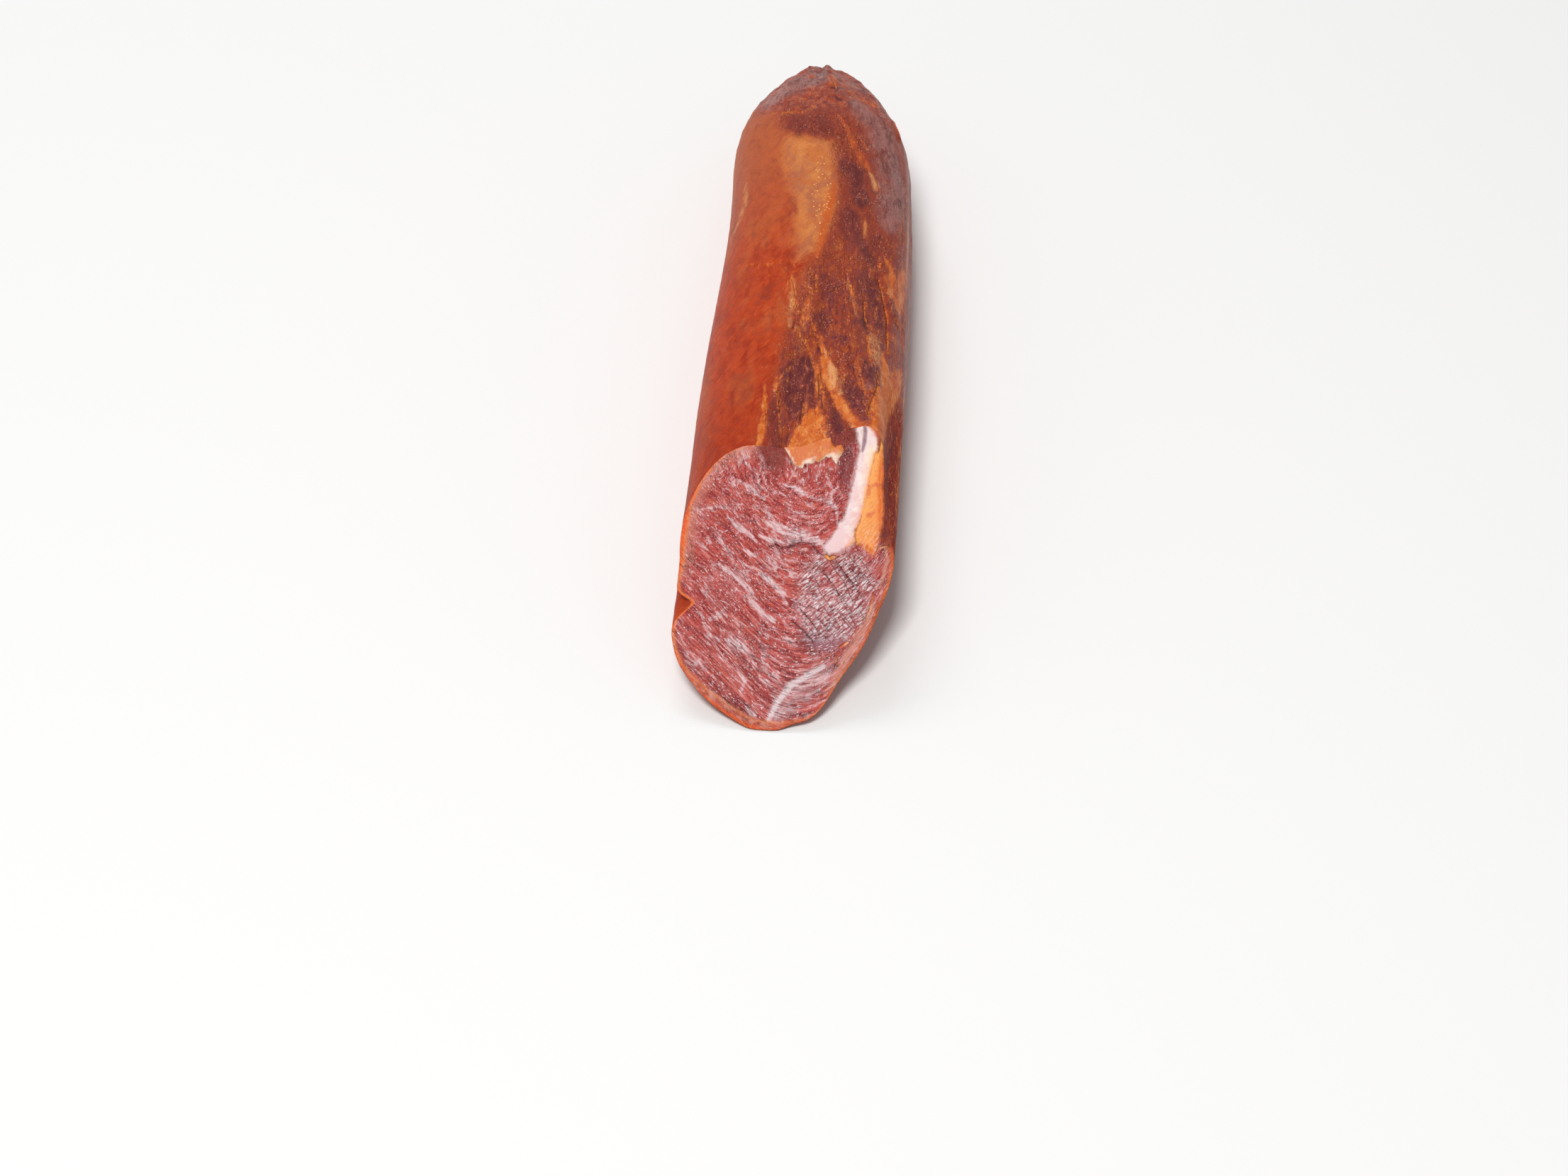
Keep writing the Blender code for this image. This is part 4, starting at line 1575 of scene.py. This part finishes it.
        # Painted sheen band.
        shining = (sheen + (threads - 0.5) * 1.4 + loose * 0.7).rise(0.05, 1.1)
        colour = b.blend(shining * 0.8, colour, self.gleam)
        # Painted glints of the moist cut, in patches.
        glint_spread = (broad * 0.4 + fringe * 0.6 + glint_frost * 0.10).rise(0.43, 0.55)
        glint = (grain * 0.6 + speckle * 0.4).rise(0.55, 0.60) * glint_spread
        colour = b.blend(glint * 0.8, colour, self.gleam)
        colour = b.blend((brown * 1.8 - 0.9 + loose * 0.7).rise(-0.7, 0.7) * 0.9, colour, self.brown)
        colour = b.blend((pale * 1.1 + loose * 0.9 - 0.05).rise(0.1, 1.0) * 0.6, colour, self.cream)

        above = up - 76.0
        even = (broad * 0.5 + mottle * 0.5 + above * 0.004).rise(0.40, 0.58)
        white = b.blend(even, self.tallow_pink, self.tallow)
        white = b.blend((margin + loose + above * 0.15).rise(-2.5, 0.5) * 0.6, white, self.tallow_cream)
        white = b.blend((margin + loose * 2.0).rise(-2.2, -4.0) * 0.55, white, self.tallow_lilac)
        white = b.blend((mottle * 0.6 + speckle * 0.4).rise(0.47, 0.38) * 0.5, white, self.tallow_pink)
        # Painted glints on the fat.
        white = b.blend(speckle.rise(0.62, 0.70) * 0.4, white, self.gleam)
        fat = (tallow + loose * 1.6 + (fringe - 0.5) * 0.8).rise(-0.7, 0.8)
        colour = b.blend(fat, colour, white)
        slit = (stain_and_shade * tallow.rise(0.0, 0.6) + loose * 0.4).rise(0.15, 1.0)
        colour = b.blend(slit * 0.85, colour, self.slit)

        # Painted glints and glow on the glossy rind.
        edging = b.blend((speckle * 0.6 + mottle * 0.4).rise(0.48, 0.62) * 0.7, self.rind, self.rind_glint_gold)
        edging = b.blend(rim_dark, edging, self.rind_dark)
        strip = b.blend((speckle * 0.2 + mottle * 0.8).rise(0.42, 0.6), self.strip, self.strip_pale)
        edging = b.blend(rim_pale * (rim + loose).rise(-2.6, -1.4), edging, strip)
        edging = b.blend((rim + loose).rise(-1.0, 0.2) * (1.0 - rim_dark) * 0.6, edging, self.rind_glint_gold)
        colour = b.blend((rim + loose * 1.4).rise(1.0, -0.6) * 0.95, colour, edging)
        yolk = b.blend((tallow + loose * 1.5).rise(-2.4, -0.4), self.orange, self.orange_pale)
        core = (margin + loose * 2.2 + (broad - 0.5) * 3.0).rise(0.3, 2.0) * up.rise(86.0, 80.0)
        yolk = b.blend(core * 0.7, yolk, self.orange_pale)
        yolk = b.blend((mottle * 0.6 + broad * 0.4).rise(0.47, 0.38) * 0.55, yolk, self.orange_red)
        yolk = b.blend(speckle.rise(0.60, 0.68) * 0.6, yolk, self.tallow_cream)
        yolk = b.blend(fringe.rise(0.50, 0.60) * up.rise(67.0, 60.0) * 0.6, yolk, self.tallow_cream)
        waxy = (margin + loose * 1.3).rise(-1.5, 0.1)
        colour = b.blend(waxy * 0.95, colour, yolk)

        lid = b.blend((mottle * 0.7 + fringe * 0.3).rise(0.46, 0.62) * 0.8, self.flap, self.flap_warm)
        torn = (flap + loose * 3.0 + (broad - 0.5) * 7.0).rise(1.4, 0.0) * up.rise(89.5, 86.5)
        lid = b.blend(torn * 0.85, lid, self.flap_pale)
        lidded = (flap + loose + (fringe - 0.5)).rise(-0.15, 0.2)
        colour = b.blend(lidded, colour, lid)

        rifts = abs(b.noise(woven, (3.4, 26.0, 1.0), 1.0, 0.5, 0.2) - 0.5).rise(0.020, 0.0)
        seams = abs(b.noise(woven, (12.0, 1.8, 1.0), 1.0, 0.5, 0.2) - 0.5).rise(0.022, 0.0)
        crazed = (rifts * 0.8).at_least(seams * 0.5) * sheen_block
        colour = b.blend(crazed * 0.7, colour, self.flesh_deep)
        # Darker in the cracks, with the painted shadow line under the torn ledge.
        colour = b.blend((crack + (mottle - 0.5) * 0.4).rise(0.45, 0.95) * 0.7, colour, self.dark)

        waxen = fat.at_least(waxy).at_least(lidded)
        b.cover(colour, 0.24 + waxen * 0.30 + (speckle - 0.5) * 0.25, self.shine)
        height = threads * 0.5 + speckle * 0.6 + fringe * 0.5 + mottle * 0.5 + grain * 0.3
        b.raise_surface((height - crazed * 0.7 - slits * 0.6) * (1.0 - waxen * 0.85), self.relief)
        return b.material


@dataclass
class LoinBody:
    """The loin as one closed mesh, from the middle of the cut to the tip."""

    shape: LoinShape = field(default_factory=LoinShape)
    skin: SkinMarks = field(default_factory=SkinMarks)
    meat: MeatMarks = field(default_factory=MeatMarks)
    around: int = 384
    cut_rings: int = 81
    skin_rings: int = 160
    cuts: tuple[int, int] = (79, 2)
    level_edge: float = 0.001
    way_steps: int = 2001
    rim_gap: float = 0.75
    skin_gap: float = 0.35
    rim_gap_reach: float = 0.35
    tip_end: float = 1.003
    tip_reach: float = 0.22
    top_crowding: float = 0.30
    cut_crowding: float = 1.08
    rim_rounds: int = 3
    mound_ease: float = 1.2
    skin_depth: float = 12.0
    crease_share: float = 0.8
    meat_depth: float = 4.0
    stain_height: float = 4.5
    rim_span: Span = (-3.0, 6.0)
    dried_span: Span = (2.0, 13.0)

    def raw_tube(self) -> bpy.types.Object:
        """Adds a tube with closed ends and cuts it into rings.

        Returns:
            The tube, its first ring at Y = 0 and its last at Y = 1.
        """
        deselect_all()
        bpy.ops.mesh.primitive_cylinder_add(
            vertices=self.around, radius=1.0, depth=1.0, end_fill_type="TRIFAN",
            location=(0.0, 0.5, 0.0), rotation=(math.radians(-90.0), 0.0, 0.0),
        )
        tube = bpy.context.object
        bpy.ops.object.transform_apply(location=True, rotation=True, scale=True)
        for cuts in self.cuts:
            bpy.ops.object.mode_set(mode="EDIT")
            bpy.ops.mesh.select_mode(type="EDGE")
            bpy.ops.mesh.select_all(action="DESELECT")
            bpy.ops.object.mode_set(mode="OBJECT")
            points = tube.data.vertices
            for edge in tube.data.edges:
                first, second = (points[i].co for i in edge.vertices)
                edge.select = abs(first.y - second.y) > self.level_edge
            bpy.ops.object.mode_set(mode="EDIT")
            bpy.ops.mesh.subdivide(number_cuts=cuts)
            bpy.ops.object.mode_set(mode="OBJECT")
        return tube

    def ring_steps(self) -> Array:
        """Shares of the way along the skin for its rings, closer together near both ends.

        Returns:
            Shares from 0 at the rim, the last just short of the tip.
        """
        way = np.linspace(0.0, 1.0, self.way_steps)
        tip = np.sqrt(np.clip((self.tip_end - way) / self.tip_reach, 0.0, 1.0))
        gap = (self.rim_gap + self.skin_gap * fade(way, 0.0, self.rim_gap_reach)) * tip
        count = np.concatenate([[0.0], np.cumsum(0.5 / gap[1:] + 0.5 / gap[:-1])])
        return np.interp(np.arange(self.skin_rings) / self.skin_rings, count / count[-1], way)

    def angles(self, around: Array) -> Array:
        """Spreads evenly spaced angles so that they lie closer at the top.

        Args:
            around: Even angles in degrees.

        Returns:
            Angles in degrees, from 0 to 360 around.
        """
        from_top = turn(around, TOP)
        return TOP + from_top - self.top_crowding * np.degrees(np.sin(np.radians(from_top)))

    def place_skin(self, relief: Relief, angle: Array, step: Array) -> tuple[Array, Array, Array]:
        """Places of the skin's points.

        Args:
            relief: The finer relief.
            angle: Angle of each point.
            step: Share of the way from the rim to the tip.

        Returns:
            The points, and their places to the right of the top line and along, in millimetres.
        """
        right = self.shape.right_of_top(angle)
        start = self.shape.cut_distance(angle)
        for _ in range(self.rim_rounds):
            start = self.shape.cut_distance(angle, relief.on_skin(right, start / MM, angle))
        distance = start + step * (self.shape.length - start)
        height = relief.on_skin(right, distance / MM, angle)
        x, z = self.shape.skin_point(distance, angle, height)
        return np.stack([x, distance, z], axis=-1), right, distance / MM

    def place_cut(self, relief: Relief, angle: Array, share: Array, rim: Array) -> tuple[Array, ...]:
        """Places of the cut's points.

        Args:
            relief: The finer relief.
            angle: Angle of each point's place on the rim.
            share: 0 in the middle of the cut, 1 at its rim.
            rim: The rim's point at that angle.

        Returns:
            The points, their places across and up the cut, and their distance from the rim, in millimetres.
        """
        shape = self.shape
        lean = np.array([0.0, math.cos(shape.cut_slope), math.sin(shape.cut_slope)])
        outward = np.array([0.0, -math.sin(shape.cut_slope), math.cos(shape.cut_slope)])
        across = rim[:, 0]
        up = rim @ lean
        reach = np.hypot(across - shape.middle_across, up - shape.middle_up)
        u = shape.middle_across + share * (across - shape.middle_across)
        v = shape.middle_up + share * (up - shape.middle_up)
        edge = (1.0 - share) * reach / MM
        height = shape.lip(angle) * (1.0 - fade(edge, *relief.rim_ease))
        height = height + shape.mound_height(u, v) * fade(edge, 0.0, self.mound_ease)
        height = height + relief.on_meat(u / MM, v / MM, edge)
        points = u[:, None] * np.array([1.0, 0.0, 0.0]) + v[:, None] * lean + height[:, None] * outward
        return points, u / MM, v / MM, edge

    def model(self) -> bpy.types.Object:
        """Builds the whole mesh with what its finishes read.

        Returns:
            The loin.
        """
        loin = self.raw_tube()
        loin.name = "loin_body"
        mesh = loin.data
        mesh.name = "loin_body"
        flat = np.empty(len(mesh.vertices) * 3)
        mesh.vertices.foreach_get("co", flat)
        raw = flat.reshape(-1, 3)
        rings = self.cut_rings + self.skin_rings
        ring = np.rint(raw[:, 1] * (rings - 1)).astype(int)
        centre = np.hypot(raw[:, 0], raw[:, 2]) < 0.5
        angle = self.angles(np.degrees(np.arctan2(raw[:, 2], raw[:, 0])))
        relief = Relief(self.shape, self.skin, self.meat)
        on_skin = ring >= self.cut_rings
        step = self.ring_steps()[np.clip(ring - self.cut_rings, 0, self.skin_rings - 1)]
        step = np.where(centre & on_skin, 1.0, step)
        points, right, along = self.place_skin(relief, angle, np.where(on_skin, step, 0.0))
        inward = np.clip((self.cut_rings - ring) / (self.cut_rings + 1), 0.0, 1.0)
        share = np.where(centre, 0.0, 1.0 - inward**self.cut_crowding)
        cut, across, up, edge = self.place_cut(relief, angle, np.where(on_skin, 1.0, share), points)
        tip_x, tip_z = self.shape.skin_point(np.array([self.shape.length]), np.array([0.0]))
        placed = np.where(on_skin[:, None], points, cut)
        placed[centre & on_skin] = (tip_x[0], self.shape.length, tip_z[0])
        placed = placed - np.array([self.shape.origin_across, self.shape.origin_along, 0.0])
        mesh.vertices.foreach_set("co", placed.ravel())
        self.tell_surfaces_apart(mesh, on_skin)
        self.mark_skin(mesh, angle, right, along)
        self.mark_meat(mesh, relief, angle, across, up, edge)
        mesh.update()
        for face in mesh.polygons:
            face.use_smooth = True
        return loin

    def tell_surfaces_apart(self, mesh: bpy.types.Mesh, on_skin: Array) -> None:
        """Gives each face the number of the surface it belongs to.

        Args:
            mesh: The mesh.
            on_skin: Which points belong to the skin or the rim.
        """
        loops = np.empty(len(mesh.loops), dtype=int)
        mesh.loops.foreach_get("vertex_index", loops)
        sizes = np.empty(len(mesh.polygons), dtype=int)
        mesh.polygons.foreach_get("loop_total", sizes)
        owner = np.repeat(np.arange(len(sizes)), sizes)
        meaty = np.bincount(owner, weights=~on_skin[loops]) > 0
        mesh.polygons.foreach_set("material_index", np.where(meaty, Surface.MEAT.value, Surface.SKIN.value))

    def keep(self, mesh: bpy.types.Mesh, name: str, x: Array, y: Array, z: Array) -> None:
        """Keeps three numbers for each point of the mesh.

        Args:
            mesh: The mesh.
            name: The name they are kept under.
            x: First numbers.
            y: Second numbers.
            z: Third numbers.
        """
        layer = mesh.attributes.new(name, "FLOAT_VECTOR", "POINT")
        layer.data.foreach_set("vector", np.stack([x, y, z], axis=-1).ravel())

    def mark_skin(self, mesh: bpy.types.Mesh, angle: Array, right: Array, along: Array) -> None:
        """Keeps what the skin's finish reads.

        Args:
            mesh: The mesh.
            angle: Angle of each point.
            right: Places to the right of the top line, in millimetres.
            along: Places along the loin.
        """
        skin = self.skin
        place = (right, along)
        areas = [area.depth(*place, self.skin_depth) for area in (skin.bark, skin.pale, skin.brown)]
        creases = self.crease_share * overlaid(skin.creases, *place)
        cracks = np.maximum(overlaid(skin.cracks, *place), creases)
        stains = [overlaid(marks, *place) for marks in (skin.purple, skin.grey_sheen, skin.sparkle)]
        self.keep(mesh, "skin_place", *self.shape.rolled(along, angle).T)
        self.keep(mesh, "skin_areas", *areas)
        self.keep(mesh, "skin_lines", cracks, overlaid(skin.tan, *place), overlaid(skin.orange, *place))
        self.keep(mesh, "skin_stains", *stains)

    def mark_meat(
        self, mesh: bpy.types.Mesh, relief: Relief, angle: Array, across: Array, up: Array, edge: Array
    ) -> None:
        """Keeps what the cut meat's finish reads.

        Args:
            mesh: The mesh.
            relief: The finer relief.
            angle: Angle of each point.
            across: Places across the cut, in millimetres.
            up: Places up the cut.
            edge: Distance from the rim.
        """
        meat = self.meat
        place = (across, up)
        width, dark, pale, dried = meat.rim_table(angle)
        stained = self.stain_height * overlaid(meat.orange, *place) - self.meat_depth
        margin = np.maximum(meat.margin.depth(*place, self.meat_depth), stained)
        margin = np.clip(margin, -self.meat_depth, self.meat_depth)
        tallow, flap, glossy = (
            area.depth(*place, self.meat_depth) for area in (meat.tallow, meat.flap, meat.glossy)
        )
        brown = dried * (1.0 - fade(edge, *self.dried_span))
        lines = [overlaid(marks, *place) for marks in (meat.streaks, meat.cracks, meat.dark)]
        self.keep(mesh, "meat_place", across, up, overlaid(meat.glint_frost, *place))
        self.keep(mesh, "meat_fibre", *relief.fibre_place(*place), overlaid(meat.pale, *place))
        self.keep(mesh, "meat_areas", tallow, margin, flap)
        self.keep(mesh, "meat_lines", *lines)
        self.keep(mesh, "meat_rim", np.clip(edge - width, *self.rim_span), dark, pale)
        self.keep(mesh, "meat_stains", glossy, brown, overlaid(meat.sheen, *place))

    def dress(self, loin: bpy.types.Object) -> None:
        """Gives the mesh its two finishes.

        Args:
            loin: The mesh.
        """
        kinds = np.empty(len(loin.data.polygons), dtype=int)
        loin.data.polygons.foreach_get("material_index", kinds)
        loin.data.materials.clear()
        loin.data.materials.append(SkinFinish().make())
        loin.data.materials.append(MeatFinish().make())
        loin.data.polygons.foreach_set("material_index", kinds)

    def build(self) -> bpy.types.Object:
        """Returns:
            The loin.
        """
        loin = self.model()
        self.dress(loin)
        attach(loin, "root")
        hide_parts(NODE)
        return loin


@dataclass(frozen=True)
class Lamp:
    """One soft rectangular light: its size in metres, its power in watts."""

    name: str
    place: tuple[float, float, float]
    size: Place
    power: float
    colour: Colour


@dataclass
class Studio:
    """Pale floor, soft lights and the camera at the photograph's viewing angle."""

    floor_size: float = 6.0
    camera_turn: float = math.radians(4.1)
    camera_pitch: float = math.radians(45.4)
    camera_height: float = 0.745
    camera_back: float = 0.6727
    camera_side: float = 0.0019
    lens: float = 76.0
    sensor_width: float = 36.0
    far_end: float = 20.0
    floor_colour: Colour = (0.88, 0.88, 0.88)
    floor_roughness: float = 0.9
    floor_shine: float = 0.1
    room_colour: tuple[float, float, float, float] = (1.0, 1.0, 1.0, 1.0)
    room_light: float = 0.32
    lit_place: tuple[float, float, float] = (0.0, -0.05, 0.03)
    lamps: tuple[Lamp, ...] = (
        Lamp("front_light", (-0.25, -0.95, 2.0), (0.6, 0.6), 33.0, (1.0, 0.99, 0.97)),
        Lamp("back_light", (-0.4, 1.3, 1.4), (0.9, 0.6), 10.0, (0.98, 0.99, 1.0)),
    )

    def lay_floor(self) -> None:
        """Lays the floor."""
        deselect_all()
        bpy.ops.mesh.primitive_plane_add(size=self.floor_size, location=(0.0, 0.0, 0.0))
        floor = bpy.context.object
        floor.name = "floor"
        b = Bench("pale_floor")
        b.cover(self.floor_colour, self.floor_roughness, self.floor_shine)
        floor.data.materials.append(b.material)

    def hang_light(self, lamp: Lamp) -> None:
        """Hangs one light so that it faces the loin.

        Args:
            lamp: The light.
        """
        bpy.ops.object.light_add(type="AREA", location=lamp.place)
        light = bpy.context.object
        light.name = lamp.name
        light.data.shape = "RECTANGLE"
        light.data.size, light.data.size_y = lamp.size
        light.data.energy = lamp.power
        light.data.color = lamp.colour
        aim = np.array(lamp.place) - np.array(self.lit_place)
        aim = aim / np.linalg.norm(aim)
        light.rotation_euler = (math.acos(aim[2]), 0.0, math.atan2(aim[0], -aim[1]))

    def set_camera(self) -> None:
        """Sets up the camera."""
        ahead = np.array([-math.sin(self.camera_turn), math.cos(self.camera_turn), 0.0])
        aside = np.array([math.cos(self.camera_turn), math.sin(self.camera_turn), 0.0])
        place = -ahead * self.camera_back + aside * self.camera_side
        place = place + np.array([-LoinShape.origin_across, -LoinShape.origin_along, self.camera_height])
        bpy.ops.object.camera_add(
            location=tuple(place), rotation=(math.pi / 2.0 - self.camera_pitch, 0.0, self.camera_turn)
        )
        camera = bpy.context.object
        camera.data.sensor_width = self.sensor_width
        camera.data.lens = self.lens
        camera.data.clip_end = self.far_end
        bpy.context.scene.camera = camera

    def build(self) -> None:
        """Sets the whole stage."""
        self.lay_floor()
        for lamp in self.lamps:
            self.hang_light(lamp)
        world = bpy.data.worlds.new("white_room")
        world.use_nodes = True
        air = world.node_tree.nodes["Background"]
        air.inputs["Color"].default_value = self.room_colour
        air.inputs["Strength"].default_value = self.room_light
        bpy.context.scene.world = world
        bpy.context.scene.view_settings.view_transform = "Standard"
        self.set_camera()


def main() -> None:
    """Builds the loin and its stage, and notes the sizes."""
    logging.basicConfig(level=logging.INFO, format="%(name)s: %(message)s")
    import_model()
    loin = LoinBody().build()
    LOG.info("%s: %d points, %d faces", loin.name, len(loin.data.vertices), len(loin.data.polygons))
    Studio().build()
    LOG.info("stage is set")


if __name__ == "__main__":
    main()
